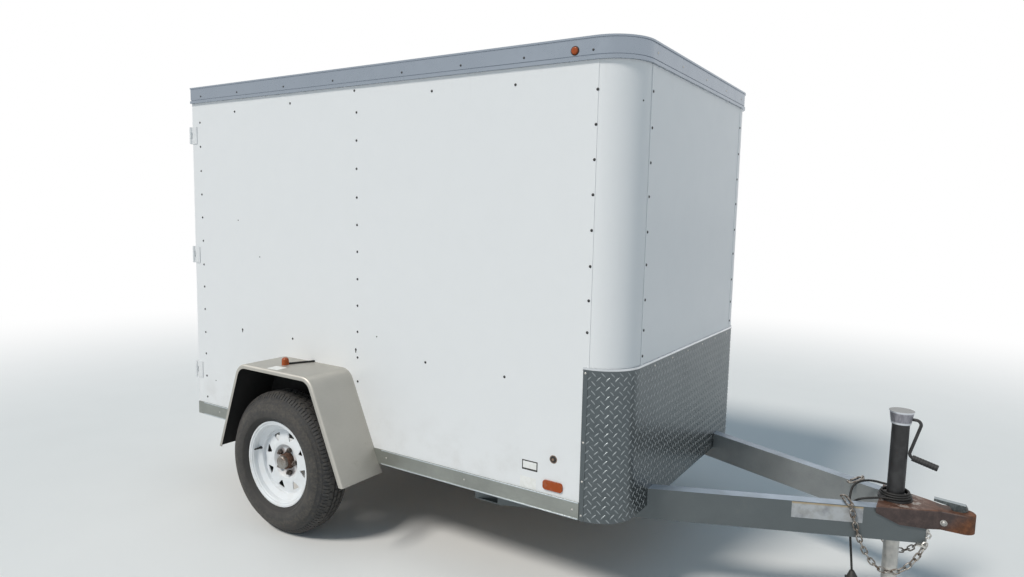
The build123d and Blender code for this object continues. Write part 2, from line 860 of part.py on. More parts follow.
def coupler():
    shell = slab(coupler_plan(0), coupler_bottom, coupler_top)
    shell = fillet(shell.edges().group_by(Axis.Z)[-1].sort_by(Axis.X)[1:], coupler_round)
    shell -= slab(coupler_plan(coupler_sheet), coupler_bottom - 1, tongue_top)
    edge = [(front_x + d, z) for d, z in flange_edge]
    rear = edge[0][0] - coupler_margin
    below = [(edge[-1][0], 0), (rear, 0), (rear, edge[0][1])]
    shell -= across(make_face(Polyline(*[(x, 0, z) for x, z in edge + below], close=True)), -box_width, box_width)
    ball_x = front_x + ball_centre
    shell += Pos(ball_x, 0, (coupler_bottom + coupler_top) / 2) * Cylinder(
        nose_radius - coupler_sheet / 2, coupler_top - coupler_bottom
    )
    bore_top = tongue_top - ball_bore_radius
    shell -= Pos(ball_x, 0, (bore_top + coupler_bottom) / 2) * Cylinder(ball_bore_radius, bore_top - coupler_bottom)
    shell -= Pos(ball_x, 0, bore_top) * Sphere(ball_bore_radius)
    hole = jack_radius + jack_hole_clearance
    return shell - Pos(jack_x, 0, coupler_top) * Cylinder(hole, 4 * coupler_sheet)


def coupler_latch():
    """Lever: a channel with its flanges down, which rests on the coupler by its front end."""
    outline = [(front_x + d, coupler_top + rise) for d, rise in latch_outline]
    hollow = [(x, z - latch_sheet) for x, z in outline]
    hollow_width = latch_width - 2 * latch_sheet
    return side_profile(outline, -latch_width / 2, latch_width) - side_profile(hollow, -hollow_width / 2, hollow_width)


parts["coupler"] = coupler()
parts["coupler_latch"] = coupler_latch()


# Jack: post through the coupler, cap with its crank, and the leg that slides in the post
def pipe(radius, thickness, low, high):
    ring_face = Circle(radius) - Circle(radius - thickness)
    return Pos(jack_x, 0, 0) * slab(ring_face, low, high)


cap_roof = cap_bottom + cap_height - jack_flange_thickness
leg_radius = jack_radius - jack_wall - leg_clearance
parts["jack_post"] = pipe(jack_radius, jack_wall, jack_bottom, cap_roof) + pipe(
    jack_flange_radius, jack_flange_radius - jack_radius + 1, coupler_top, coupler_top + jack_flange_thickness
)
cap_top = cap_bottom + cap_height
cap_section = Polyline(
    (0, 0, cap_bottom), (cap_low_radius, 0, cap_bottom), (cap_high_radius, 0, cap_top - cap_band),
    (cap_high_radius, 0, cap_top - cap_lid_thickness), (cap_lid_radius, 0, cap_top - cap_lid_thickness),
    (cap_lid_radius, 0, cap_top), (0, 0, cap_top), close=True,
)
jack_cap = Pos(jack_x, 0, 0) * revolve(make_face(cap_section), Axis.Z)
parts["jack_cap"] = jack_cap - Pos(jack_x, 0, 0) * slab(Circle(jack_radius), cap_bottom, cap_roof)
crank_points = [(jack_x + d, 0, z) for d, z in crank_path]
crank_line = FilletPolyline(*crank_points, radius=crank_bend)
crank = sweep(Plane(origin=crank_points[0], z_dir=crank_line % 0) * Circle(crank_radius), path=crank_line)
grip_place = Plane(origin=crank_points[-1], z_dir=crank_line % 1)
crank += extrude(grip_place * Circle(grip_radius), -grip_length)
parts["jack_crank"] = crank - parts["jack_cap"]
foot = Pos(jack_x, 0, 0) * slab(Circle(foot_radius), 0, foot_thickness)
parts["jack_leg"] = foot + pipe(leg_radius, leg_wall, foot_thickness, leg_top)


# Safety chains. Along a tube they are drawn in a plane that stands beside its outer face.
def loop_outline(length, width, growth):
    """Long loop with straight sides and ends of a few flats, grown from the inner edge of its wire."""
    radius, shift = width / 2 + growth, (length - width) / 2
    points = []
    for side in (1, -1):
        for i in range(link_flats + 1):
            angle = pi * i / link_flats - side * pi / 2
            points.append((side * shift + radius * cos(angle), radius * sin(angle)))
    return make_face(Polyline(*points, close=True))


def wire_loop(length, width, wire):
    """Closed loop of four-sided wire, edge outwards, with its inside length along X."""
    half = extrude(loop_outline(length, width, 2 * wire), wire, taper=45)
    half -= extrude(loop_outline(length, width, 0), wire, taper=-45)
    return half + mirror(half, about=Plane.XY)


def hang(span, rise, links, pitch):
    """Directions (along, up) of a chain's links as it hangs between two points, and of one link more."""
    def directions(pull, start):
        return [(pull / hypot(pull, start + i), (start + i) / hypot(pull, start + i)) for i in range(links + 1)]

    def start_of(pull):
        low, high = -3.0 * links, 3.0 * links
        for _ in range(50):
            middle = (low + high) / 2
            if pitch * sum(up for _, up in directions(pull, middle)[:links]) < rise:
                low = middle
            else:
                high = middle
        return low

    low, high = 0.01, 10.0 * links
    for _ in range(50):
        middle = (low + high) / 2
        if pitch * sum(along for along, _ in directions(middle, start_of(middle))[:links]) < span:
            low = middle
        else:
            high = middle
    return directions(low, start_of(low))


chain_offset = link_width / 2 + 2 * link_wire + chain_gap
link_pitch = link_length - link_play
tube_forward = Vector(1, slope, 0).normalized()
tube_outward = Vector(slope, -1, 0).normalized()
chain_foot = Vector(front_x + chain_over, -tube_side_y(chain_over), 0) + tube_outward * chain_offset
chain_plane = Plane(origin=chain_foot, x_dir=tube_forward, z_dir=(0, 0, 1)).location
hook_level = tongue_top + chain_gap + hook_wire
chain_start = (0.0, hook_level + hook_wire)
chain_span = (chain_end - chain_over) / cos(radians(tongue_angle))
link_shape = wire_loop(link_length, link_width, link_wire)
links = []
place = chain_start
for i, (along, up) in enumerate(hang(chain_span, chain_end_level - chain_start[1], chain_links, link_pitch)):
    middle = (place[0] + along * link_pitch / 2, 0, place[1] + up * link_pitch / 2)
    # Each link lies a quarter turn from the one before it.
    normal = (-up, 0, along) if i % 2 == 0 else (0, 1, 0)
    links.append(chain_plane * Plane(origin=middle, x_dir=(along, 0, up), z_dir=normal).location * link_shape)
    place = (place[0] + along * link_pitch, place[1] + up * link_pitch)

# Long hook that lies across the top of the tube, with a mouth near its inner end
hook = wire_loop(hook_length, hook_width, hook_wire)
mouth_end = hook_length / 2 - hook_width / 2
hook -= block((mouth_end - hook_mouth, mouth_end), (0, hook_width), (-hook_wire, hook_wire))
hook_place = Plane(origin=(0, hook_length / 2 + hook_wire, hook_level), x_dir=(0, 1, 0), z_dir=(0, 0, 1)).location
right_chain = [chain_plane * hook_place * hook] + links[:chain_links]
parts["safety_chains"] = Compound(children=right_chain + [mirrored(piece) for piece in right_chain])

# Bar under the ends of the tubes, with the last link of each chain welded through it
bar_reach_y = tube_side_y(chain_end) + chain_bar_reach
chain_bar = block(
    (front_x + chain_end - chain_bar_width / 2, front_x + chain_end + chain_bar_width / 2),
    (-bar_reach_y, bar_reach_y),
    (tongue_bottom - chain_bar_thickness, tongue_bottom),
)
chain_bar += links[chain_links] + mirrored(links[chain_links])
# The coupler's side runs from the end of the tube to its neck, and the hook hangs under the middle of its sheet.
keeper_share = (keeper_hook_ahead - tongue_end) / (coupler_neck - tongue_end)
side_y = tube_side_y(tongue_end, coupler_sheet) * (1 - keeper_share) + nose_radius * keeper_share
keeper_points = [
    (front_x + keeper_hook_ahead + d, coupler_sheet / 2 - side_y, coupler_bottom - drop) for d, drop in keeper_hook_path
]
keeper_line = FilletPolyline(*keeper_points, radius=keeper_hook_radius + 1)
keeper_hook = sweep(
    Plane(origin=keeper_line @ 0, z_dir=keeper_line % 0) * Circle(keeper_hook_radius), path=keeper_line
)
parts["chain_bracket"] = Compound(children=[chain_bar, keeper_hook])


# Wiring lead
def bend_radii(points):
    """Radius of the bend at each inner point, as large as its two runs allow."""
    radii = []
    for before, corner, after in zip(points, points[1:], points[2:]):
        first, second = corner - before, after - corner
        turn = radians(first.get_angle(second))
        radii.append(bend_share * min(first.length, second.length) / tan(turn / 2))
    return radii


def cable(name, points):
    """Tube of the lead through its points, and a line with its bends."""
    radii = bend_radii(points)
    line = FilletPolyline(*points, radius=radii)
    print(name, "length", round(line.length, 1), "radii", [round(r) for r in radii])
    tube = sweep(Plane(origin=points[0], z_dir=line % 0) * Circle(cable_radius), path=line)
    print(name, "volume share", round(tube.volume / (line.length * pi * cable_radius**2), 5))
    return tube


def turned_on(profile, origin, direction):
    """Solid of revolution from (place along the direction, radius), closed at its axis."""
    points = [(r, 0, t) for t, r in profile]
    return Plane(origin=origin, z_dir=direction).location * revolve(make_face(Polyline(*points, close=True)), Axis.Z)


layer = 2 * (cable_radius + turn_gap)
turns_low = coupler_top + jack_flange_thickness + turn_gap
entry_level = turns_low + layer / 2
leave_level = entry_level + (turn_layers - 1) * layer
inward = -tube_outward
gland_face = Vector(
    front_x + gland_ahead,
    -tube_side_y(gland_ahead, -tongue_width),
    gland_level,
)
gland_end = gland_face + inward * gland_length
# Routes of the lead: ahead of the front face, left of the middle, height.
feed_route = (
    (592.0, -52.0, 371.0), (635.0, -34.0, 373.0), (673.0, -48.0, 385.0), (700.0, -73.0, 416.0),
    (722.0, -90.0, 452.0), (752.0, -93.0, 468.0), (784.0, -78.0, 472.0), (818.0, -turn_radius, entry_level),
    (jack_ahead, -turn_radius, entry_level),
)
tail_route = (
    (jack_ahead, turn_radius, leave_level), (811.0, turn_radius, leave_level), (767.0, 46.0, 500.0),
    (730.0, 20.0, 499.0), (705.0, -20.0, 490.0), (699.0, -62.0, 468.0), (702.0, -90.0, 430.0),
    (710.0, -101.0, 380.0), (714.0, -103.0, 310.0), (722.0, -100.0, 235.0), (729.0, -100.0, 165.0),
)
feed_points = [gland_end, gland_end + inward * 44] + [Vector(front_x + d, y, z) for d, y, z in feed_route]
tail_points = [Vector(front_x + d, y, z) for d, y, z in tail_route]
parts["wiring_gland"] = turned_on(
    (
        (0, 0), (0, gland_flange_radius), (gland_flange, gland_flange_radius), (gland_flange, gland_nut_radius),
        (gland_length / 2, gland_nut_radius), (gland_length, gland_neck_radius), (gland_length, 0),
    ),
    gland_face,
    inward,
)
parts["wiring_feed"] = cable("wiring_feed", feed_points)
parts["wiring_tail"] = cable("wiring_tail", tail_points)
turns = Pos(jack_x, 0, 0) * slab(
    Circle(turn_radius + turn_width / 2) - Circle(turn_radius - turn_width / 2),
    turns_low,
    turns_low + turn_layers * layer,
)
# The lowest turn starts on the right of the jack, and the highest ends on its left.
for side, level in ((-1, entry_level), (1, leave_level)):
    turns -= block(
        (jack_x - 2 * turn_radius, jack_x),
        (side * (turn_radius - turn_width), side * (turn_radius + turn_width)),
        (level - layer / 2, level + layer / 2),
    )
parts["wiring_turns"] = turns
plug_axis = (tail_points[-1] - tail_points[-2]).normalized()
plug = turned_on(
    (
        (0, 0), (0, plug_neck_radius), (plug_neck_length, plug_radius),
        (plug_length - plug_skirt_length, plug_radius), (plug_length - plug_skirt_length, plug_skirt_radius),
        (plug_length, plug_skirt_radius), (plug_length, plug_socket_radius),
        (plug_length - plug_socket_depth, plug_socket_radius), (plug_length - plug_socket_depth, 0),
    ),
    tail_points[-1],
    plug_axis,
)
key = block(
    (plug_radius - 1, plug_skirt_radius + plug_key / 2), (-plug_key / 2, plug_key / 2), (plug_neck_length, plug_length)
)
parts["wiring_plug"] = plug + Plane(origin=tail_points[-1], z_dir=plug_axis).location * key

os.makedirs("parts", exist_ok=True)
for node, shape in parts.items():
    export_step(shape, f"parts/{node}.step")
whole = Compound(children=[shape for shape in parts.values()])
print("nodes", len(parts), "box", whole.bounding_box())
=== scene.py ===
import json
from math import ceil, cos, pi, radians, sin, tau

import bmesh
import bpy
import numpy as np
from bpy.props import FloatProperty, FloatVectorProperty, IntProperty, PointerProperty
from bpy.types import Operator, Panel, PropertyGroup
from mathutils import Matrix, Vector


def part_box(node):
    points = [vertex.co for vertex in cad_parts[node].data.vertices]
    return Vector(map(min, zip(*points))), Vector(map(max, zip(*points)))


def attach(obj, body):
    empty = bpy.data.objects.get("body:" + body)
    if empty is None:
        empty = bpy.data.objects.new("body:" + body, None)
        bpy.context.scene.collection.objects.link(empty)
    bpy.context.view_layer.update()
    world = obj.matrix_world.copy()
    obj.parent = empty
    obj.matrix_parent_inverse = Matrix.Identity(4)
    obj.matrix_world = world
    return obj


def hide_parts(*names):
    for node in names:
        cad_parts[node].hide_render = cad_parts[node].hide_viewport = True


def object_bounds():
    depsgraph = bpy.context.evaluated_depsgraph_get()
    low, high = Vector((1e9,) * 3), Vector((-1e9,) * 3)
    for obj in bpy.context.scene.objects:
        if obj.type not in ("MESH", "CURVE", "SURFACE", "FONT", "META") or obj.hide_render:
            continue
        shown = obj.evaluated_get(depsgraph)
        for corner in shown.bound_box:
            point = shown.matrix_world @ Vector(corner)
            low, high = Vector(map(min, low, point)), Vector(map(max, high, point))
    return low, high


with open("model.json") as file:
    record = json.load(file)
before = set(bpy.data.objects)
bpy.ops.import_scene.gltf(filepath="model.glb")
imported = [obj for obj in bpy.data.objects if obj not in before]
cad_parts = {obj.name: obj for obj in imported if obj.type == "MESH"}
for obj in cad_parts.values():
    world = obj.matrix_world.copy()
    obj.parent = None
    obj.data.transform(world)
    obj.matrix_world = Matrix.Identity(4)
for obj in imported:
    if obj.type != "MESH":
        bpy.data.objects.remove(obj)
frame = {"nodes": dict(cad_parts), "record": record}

bl_info = {
    "name": "Enclosed cargo trailer",
    "version": (1, 0, 0),
    "blender": (4, 5, 0),
    "location": "3D View > Sidebar > Trailer",
    "description": "Dresses the frame of a single-axle cargo trailer with its finishes and small pieces",
    "category": "Object",
}

cad_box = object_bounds()


def half(node, axis):
    """Half of a node's size along an axis, 0 to 2."""
    low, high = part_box(node)
    return (high[axis] - low[axis]) / 2


# Places read from the frame, in metres: +X forward, +Y left, +Z up
wall_low, wall_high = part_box("side_wall_left")
rail_low, rail_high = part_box("side_rails")
trim_low, trim_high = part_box("roof_trim")
guard_low, guard_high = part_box("stone_guard")
fender_low, fender_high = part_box("fender_right")
lamp_low, lamp_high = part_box("fender_lamps")
FRONT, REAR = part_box("front_wall")[1].x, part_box("rear_posts")[0].x
SIDE, WALL, WALL_HIGH = wall_high.y, wall_high.y - wall_low.y, wall_high.z
RAIL_LOW, RAIL_HIGH, RAIL_SIDE = rail_low.z, rail_high.z, rail_high.y
TRIM_LOW, TRIM_HIGH, TRIM_SIDE = trim_low.z, trim_high.z, trim_high.y
GUARD_LOW, GUARD_HIGH, GUARD_REAR, GUARD_NOSE = guard_low.z, guard_high.z, guard_low.x, guard_high.x
GUARD_SHEET = GUARD_NOSE - FRONT
CORNER_RADIUS = 0.15
WHEEL = sum(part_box("rim_right"), Vector()) / 2
RIM_HALF, RIM_RADIUS = half("rim_right", 1), half("rim_right", 2)
TYRE_HALF, TYRE_RADIUS = half("tyre_right", 1), half("tyre_right", 2)
TONGUE_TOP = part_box("tongue_right")[1].z
COUPLER_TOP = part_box("coupler")[1].z
JACK_X = sum(corner.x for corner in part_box("jack_cap")) / 2
TONGUE_ANGLE = radians(23.3)
TONGUE_SIN, TONGUE_COS = sin(TONGUE_ANGLE), cos(TONGUE_ANGLE)
TUBE_HALF = 0.0254 / TONGUE_COS
TONGUE_FOOT = 0.474 - TUBE_HALF
DOOR_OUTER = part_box("door_panel_right")[0].x
LABEL_HIGH = 0.4505
FENDER_HIGH = fender_high.z
LAMP_RADIUS = 0.017
FENDER_LAMP = (lamp_low.x + LAMP_RADIUS, lamp_high.y - LAMP_RADIUS)
SKIN = 0.0012


# Shader nodes
class Wire:
    """Socket of a material's nodes, so that shader maths reads as Python expressions."""

    def __init__(self, finish, socket):
        self.finish = finish
        self.socket = socket

    def maths(self, operation, *values):
        return self.finish.node("ShaderNodeMath", {"operation": operation}, dict(enumerate(values)))

    def __add__(self, other):
        return self.maths("ADD", self, other)

    def __radd__(self, other):
        return self.maths("ADD", other, self)

    def __sub__(self, other):
        return self.maths("SUBTRACT", self, other)

    def __rsub__(self, other):
        return self.maths("SUBTRACT", other, self)

    def __mul__(self, other):
        return self.maths("MULTIPLY", self, other)

    def __rmul__(self, other):
        return self.maths("MULTIPLY", other, self)

    def __truediv__(self, other):
        return self.maths("DIVIDE", self, other)

    def __pow__(self, other):
        return self.maths("POWER", self, other)

    def __abs__(self):
        return self.maths("ABSOLUTE", self)

    def __gt__(self, other):
        return self.maths("GREATER_THAN", self, other)

    def __lt__(self, other):
        return self.maths("LESS_THAN", self, other)

    def step(self, low, high):
        """0 below low and 1 above high, smooth in between; falls where low is above high."""
        ends = {0: self, 1: low, 2: high, 3: 0.0, 4: 1.0}
        return self.finish.node("ShaderNodeMapRange", {"interpolation_type": "SMOOTHSTEP"}, ends)


class Finish:
    """Nodes of a material, of the world or of a stage surface, with one method that adds any node."""

    def __init__(self, name, owner=None):
        self.owner = owner or bpy.data.materials.get(name) or bpy.data.materials.new(name)
        self.owner.use_nodes = True
        self.tree = self.owner.node_tree
        self.tree.nodes.clear()

    def node(self, kind, settings=None, inputs=None, output=0):
        """Adds a node: its settings first, then the values or links of its sockets."""
        made = self.tree.nodes.new(kind)
        for key, value in (settings or {}).items():
            setattr(made, key, value)
        for key, value in (inputs or {}).items():
            socket = made.inputs[key]
            if isinstance(value, Wire):
                self.tree.links.new(value.socket, socket)
            else:
                socket.default_value = (*value, 1.0) if socket.type == "RGBA" else value
        return Wire(self, made.outputs[output]) if made.outputs else None

    def axes(self, vector):
        """The three numbers of a vector."""
        split = self.node("ShaderNodeSeparateXYZ", inputs={0: vector})
        return [Wire(self, split.socket.node.outputs[i]) for i in range(3)]

    def where(self):
        """Place on the piece, in metres."""
        return self.axes(self.node("ShaderNodeTexCoord", output="Object"))

    def normal(self):
        """Direction that the piece faces."""
        return self.axes(self.node("ShaderNodeTexCoord", output="Normal"))

    def noise(self, scale, detail=2.0, roughness=0.5, stretch=(1.0, 1.0, 1.0)):
        """Cloudy number about 0.5, with a size for each axis."""
        place = self.node("ShaderNodeTexCoord", output="Object")
        where = self.node("ShaderNodeVectorMath", {"operation": "MULTIPLY"}, {0: place, 1: stretch})
        inputs = {"Vector": where, "Scale": scale, "Detail": detail, "Roughness": roughness}
        return self.node("ShaderNodeTexNoise", inputs=inputs)

    def blend(self, factor, first, second):
        """Colour that goes from the first to the second."""
        return self.node("ShaderNodeMix", {"data_type": "RGBA"}, {0: factor, 6: first, 7: second}, output=2)

    def surface(self, height=None, **sockets):
        """Principled surface, with a height in metres for its bump."""
        names = {key: key.replace("_", " ").title().replace("Ior", "IOR") for key in sockets}
        inputs = {names[key]: value for key, value in sockets.items()}
        if height is not None:
            bump = {"Strength": 1.0, "Distance": 1.0, "Height": height}
            inputs["Normal"] = self.node("ShaderNodeBump", inputs=bump)
        shader = self.node("ShaderNodeBsdfPrincipled", inputs=inputs)
        self.node("ShaderNodeOutputMaterial", inputs={"Surface": shader})


def shade(colour, share):
    """Darker or lighter kind of a colour."""
    return [min(1.0, c * share) for c in colour]


def distance(first, second):
    """Distance from its parts along two axes, as shader maths."""
    return (first ** 2.0 + second ** 2.0) ** 0.5


# Building of pieces
class Shape:
    """Points and faces of one piece, in metres in the frame."""

    def __init__(self):
        self.points = []
        self.faces = []

    def add(self, points, faces, place=Matrix()):
        start = len(self.points)
        self.points += [place @ Vector(p) for p in points]
        self.faces += [[start + i for i in face] for face in faces]

    def lathe(self, profile, sides, place):
        """Turned form about local Z from (radius, height) points; a radius of 0 closes it in a point."""
        points, rings = [], []
        for radius, height in profile:
            count = sides if radius > 0 else 1
            rings.append(range(len(points), len(points) + count))
            turns = [tau * i / count for i in range(count)]
            points += [(radius * cos(t), radius * sin(t), height) for t in turns]
        faces = []
        for a, b in zip(rings, rings[1:]):
            for i in range(sides):
                quad = [a[i % len(a)], a[(i + 1) % len(a)], b[(i + 1) % len(b)], b[i % len(b)]]
                faces.append(list(dict.fromkeys(quad)))
        self.add(points, [face for face in faces if len(face) > 2], place)

    def box(self, low, high, place=Matrix()):
        points = [(x, y, z) for x in (low[0], high[0]) for y in (low[1], high[1]) for z in (low[2], high[2])]
        faces = [(0, 1, 3, 2), (4, 6, 7, 5), (0, 4, 5, 1), (2, 3, 7, 6), (0, 2, 6, 4), (1, 5, 7, 3)]
        self.add(points, faces, place)

    def side_box(self, side, x, y, z):
        """Box between pairs of places, with its place across given for the left side."""
        across = sorted((side * y[0], side * y[1]))
        self.box((x[0], across[0], z[0]), (x[1], across[1], z[1]))

    def tube(self, path, radius, sides, closed=False):
        """Round bar along points, with flat ends unless it is a closed ring."""
        count = len(path)
        side = None
        points = []
        for i, p in enumerate(path):
            before = path[i - 1] if closed or i else p
            after = path[(i + 1) % count] if closed or i < count - 1 else p
            along = (after - before).normalized()
            if side is None:
                side = along.orthogonal().normalized()
            side = (side - along * side.dot(along)).normalized()
            other = along.cross(side)
            turns = [tau * k / sides for k in range(sides)]
            points += [p + (side * cos(turn) + other * sin(turn)) * radius for turn in turns]
        faces = []
        for i in range(count if closed else count - 1):
            a, b = i * sides, (i + 1) % count * sides
            faces += [[a + k, a + (k + 1) % sides, b + (k + 1) % sides, b + k] for k in range(sides)]
        if not closed:
            faces += [list(range(sides))[::-1], list(range((count - 1) * sides, count * sides))]
        self.add(points, faces)

    def ring(self, radius, level, steps, wire, sides, place):
        """Closed ring of round wire about local Z."""
        turns = [tau * k / steps for k in range(steps)]
        path = [place @ Vector((radius * cos(turn), radius * sin(turn), level)) for turn in turns]
        self.tube(path, wire, sides, closed=True)

    def piece(self, name, finish, body="trailer", sharp=32.0, bevel=0.0, stands_for=(), slot=None):
        """Makes the object in its finish, riding on a body."""
        mesh = bpy.data.meshes.new(name)
        mesh.from_pydata(self.points, [], self.faces)
        work = bmesh.new()
        work.from_mesh(mesh)
        bmesh.ops.recalc_face_normals(work, faces=work.faces)
        work.to_mesh(mesh)
        work.free()
        mesh.shade_smooth()
        mesh.set_sharp_from_angle(angle=radians(sharp))
        made = placed(name, mesh)
        if bevel:
            edge = made.modifiers.new("edge", "BEVEL")
            edge.width = bevel
            edge.segments = 2
            edge.limit_method = "ANGLE"
            edge.angle_limit = radians(40)
        dressed(made, finish, body, stands_for)


def placed(name, data):
    """New object of the scene."""
    made = bpy.data.objects.new(name, data)
    bpy.context.scene.collection.objects.link(made)
    return made


def dressed(made, finish, body, stands_for):
    """Gives a piece its finish and its body, and hides the solids of the frame that it stands for."""
    made.data.materials.append(bpy.data.materials[finish])
    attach(made, body)
    if stands_for:
        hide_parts(*stands_for)


def facing(origin, normal):
    """Place whose local Z looks along a normal and whose local Y is as near as can be to up."""
    z = Vector(normal).normalized()
    x = Vector((0, 0, 1)).cross(z).normalized()
    axes = Matrix((x, z.cross(x), z)).transposed().to_4x4()
    return Matrix.Translation(Vector(origin)) @ axes


def on_side(side, x, y, z):
    """Place that faces outwards on one side, with its distance from the middle plane."""
    return facing((x, side * y, z), (0, side, 0))


def plan_point(along, outside):
    """Point and outward normal on the front's plan, by length along it to the left from the middle."""
    side = 1 if along >= 0 else -1
    flat = SIDE - CORNER_RADIUS
    along = abs(along)
    if along <= flat:
        return Vector((FRONT + outside, side * along, 0)), Vector((1, 0, 0))
    turn = min((along - flat) / (CORNER_RADIUS + outside), pi / 2)
    normal = Vector((cos(turn), side * sin(turn), 0))
    point = Vector((FRONT - CORNER_RADIUS, side * flat, 0)) + normal * (CORNER_RADIUS + outside)
    rest = along - flat - turn * (CORNER_RADIUS + outside)
    return point - Vector((rest, 0, 0)), normal


# Sizes and colours that a user may change
class TrailerFinishes(PropertyGroup):
    """Colours of the painted and bare surfaces."""

    skin: FloatVectorProperty(
        name="Skin", description="Paint of the walls", subtype="COLOR", default=(0.80, 0.81, 0.82)
    )
    bare: FloatVectorProperty(
        name="Bare sheet", description="Rails and rear frame", subtype="COLOR", default=(0.34, 0.36, 0.34)
    )
    fender: FloatVectorProperty(
        name="Fenders", description="Bare sheet, dull", subtype="COLOR", default=(0.50, 0.49, 0.455)
    )
    tongue: FloatVectorProperty(
        name="Tongue", description="Sides of the tubes", subtype="COLOR", default=(0.122, 0.142, 0.150)
    )
    trim: FloatVectorProperty(
        name="Trim", description="Bare sheet of the roof trim", subtype="COLOR", default=(0.30, 0.345, 0.40)
    )
    plate: FloatVectorProperty(
        name="Tread plate", description="Between its lugs", subtype="COLOR", default=(0.140, 0.160, 0.170)
    )
    # Lugs lighter than the plate between them: a painted highlight on their ridges, plate and lugs being one
    # aluminium.
    lug: FloatVectorProperty(
        name="Lugs", description="Of the tread plate", subtype="COLOR", default=(0.29, 0.32, 0.335)
    )
    dirt: FloatVectorProperty(
        name="Dirt", description="Dust and splashes", subtype="COLOR", default=(0.28, 0.24, 0.19)
    )
    rust: FloatVectorProperty(
        name="Rust", description="Rusty steel", subtype="COLOR", default=(0.20, 0.075, 0.03)
    )
    rubber: FloatVectorProperty(
        name="Rubber", description="Tyres", subtype="COLOR", default=(0.022, 0.023, 0.025)
    )
    amber: FloatVectorProperty(
        name="Amber", description="Side lamps and reflectors", subtype="COLOR", default=(0.40, 0.070, 0.006)
    )
    red: FloatVectorProperty(
        name="Red", description="Rear lamps", subtype="COLOR", default=(0.42, 0.010, 0.008)
    )


class TrailerLead(PropertyGroup):
    """Wiring lead, from its gland round the jack to its plug."""

    diameter: FloatProperty(
        name="Diameter", description="Of its jacket", unit="LENGTH", default=0.009, min=0.004
    )
    turns: FloatProperty(name="Turns", description="Round the foot of the jack", default=2.5, min=0.5)
    lowest: FloatProperty(name="Lowest turn", description="Radius", unit="LENGTH", default=0.0575)
    highest: FloatProperty(name="Highest turn", description="Radius", unit="LENGTH", default=0.0475)


class TrailerGuard(PropertyGroup):
    """Tread plate of the stone guard."""

    cell: FloatProperty(
        name="Cell", description="From one row of lugs to the next", unit="LENGTH", default=0.0178, min=0.012
    )
    length: FloatProperty(name="Lug length", description="Along its ridge", unit="LENGTH", default=0.0262)
    width: FloatProperty(name="Lug width", description="Across its ridge", unit="LENGTH", default=0.0058)
    height: FloatProperty(name="Lug height", description="Above the plate", unit="LENGTH", default=0.0014)
    edge: FloatProperty(name="Edge strip", description="Width", unit="LENGTH", default=0.020)


class TrailerTyre(PropertyGroup):
    """Tread and sidewall of the tyres."""

    pitches: IntProperty(name="Pitches", description="Repeats round the tyre", default=56, min=20)
    groove: FloatProperty(name="Grooves", description="Their depth", unit="LENGTH", default=0.008)
    slot: FloatProperty(name="Slot", description="Depth of the cross slots", unit="LENGTH", default=0.0048)


class TrailerFasteners(PropertyGroup):
    """Screws and rivets."""

    screw: FloatProperty(name="Screw head", description="Radius", unit="LENGTH", default=0.0058, min=0.002)
    rivet: FloatProperty(name="Rivet head", description="Radius", unit="LENGTH", default=0.0048, min=0.002)


class TrailerStage(PropertyGroup):
    """Camera, lamps and floor."""

    place: FloatVectorProperty(
        name="Camera", description="Its place", subtype="TRANSLATION", default=(1.76315, -3.0929, 1.553)
    )
    yaw: FloatProperty(name="Yaw", description="To the left of +Y", subtype="ANGLE", default=radians(32.70))
    pitch: FloatProperty(name="Pitch", description="Above level", subtype="ANGLE", default=radians(-6.097))
    roll: FloatProperty(name="Roll", description="Of the horizon", subtype="ANGLE", default=radians(1.248))
    lens: FloatProperty(name="Lens", description="Focal length in mm on a sensor 36 mm wide", default=24.616)
    ambient: FloatProperty(name="Ambient", description="Light from all round", default=0.34, min=0.0)
    sun: FloatProperty(name="Key lamp", description="Strength of the soft sun", default=2.15, min=0.0)
    floor: FloatProperty(name="Floor", description="Radius", unit="LENGTH", default=40.0)


def settings(group):
    return getattr(bpy.context.scene, "trailer_" + group)


# Finishes
def inner_lining(x, y, z):
    """1 on the inner faces of the walls and 0 on their outside."""
    inset = WALL - 0.001
    inside = (abs(y) < SIDE - inset) * (x < FRONT - inset) * (x > DOOR_OUTER + 0.036)
    corner = distance(x - (FRONT - CORNER_RADIUS), abs(y) - (SIDE - CORNER_RADIUS))
    nose = (x > FRONT - CORNER_RADIUS) * (abs(y) > SIDE - CORNER_RADIUS) * (corner > CORNER_RADIUS - inset)
    return inside * (z < WALL_HIGH + 0.0005) * (1.0 - nose)


def white_skin(colours):
    f = Finish("white_skin")
    x, y, z = f.where()
    waves = f.noise(2.1, 1.0)
    ripple = f.noise(7.0, 2.0, stretch=(1.0, 1.0, 0.35))
    cloud = f.noise(9.0, 5.0, 0.6)
    streak = f.noise(30.0, 3.0, 0.6, stretch=(1.0, 1.0, 0.05))
    speck = f.noise(160.0, 2.0)
    splash = z.step(0.74, 0.46) * cloud.step(0.42, 0.75) * 0.14
    high = z.step(1.98, 2.11) * streak.step(0.56, 0.80) * 0.06
    grime = splash + high + streak.step(0.64, 0.86) * 0.03 + speck.step(0.76, 0.83) * 0.22
    paint = f.blend(cloud.step(0.35, 0.75) * 0.3, colours.skin, shade(colours.skin, 0.965))
    paint = f.blend(grime, paint, shade(colours.dirt, 1.25))
    grain = f.noise(60.0, 4.0, 0.65, stretch=(1.0, 1.0, 0.06))
    wood = f.blend(grain.step(0.3, 0.7), (0.52, 0.37, 0.21), (0.36, 0.23, 0.12))
    lining = inner_lining(x, y, z)
    rough = (0.24 + cloud * 0.16 + grime * 0.4) * (1.0 - lining) + lining * 0.65
    height = waves * 0.0032 + ripple * 0.00045 + speck * 0.00001
    f.surface(height, base_color=f.blend(lining, paint, wood), roughness=rough)


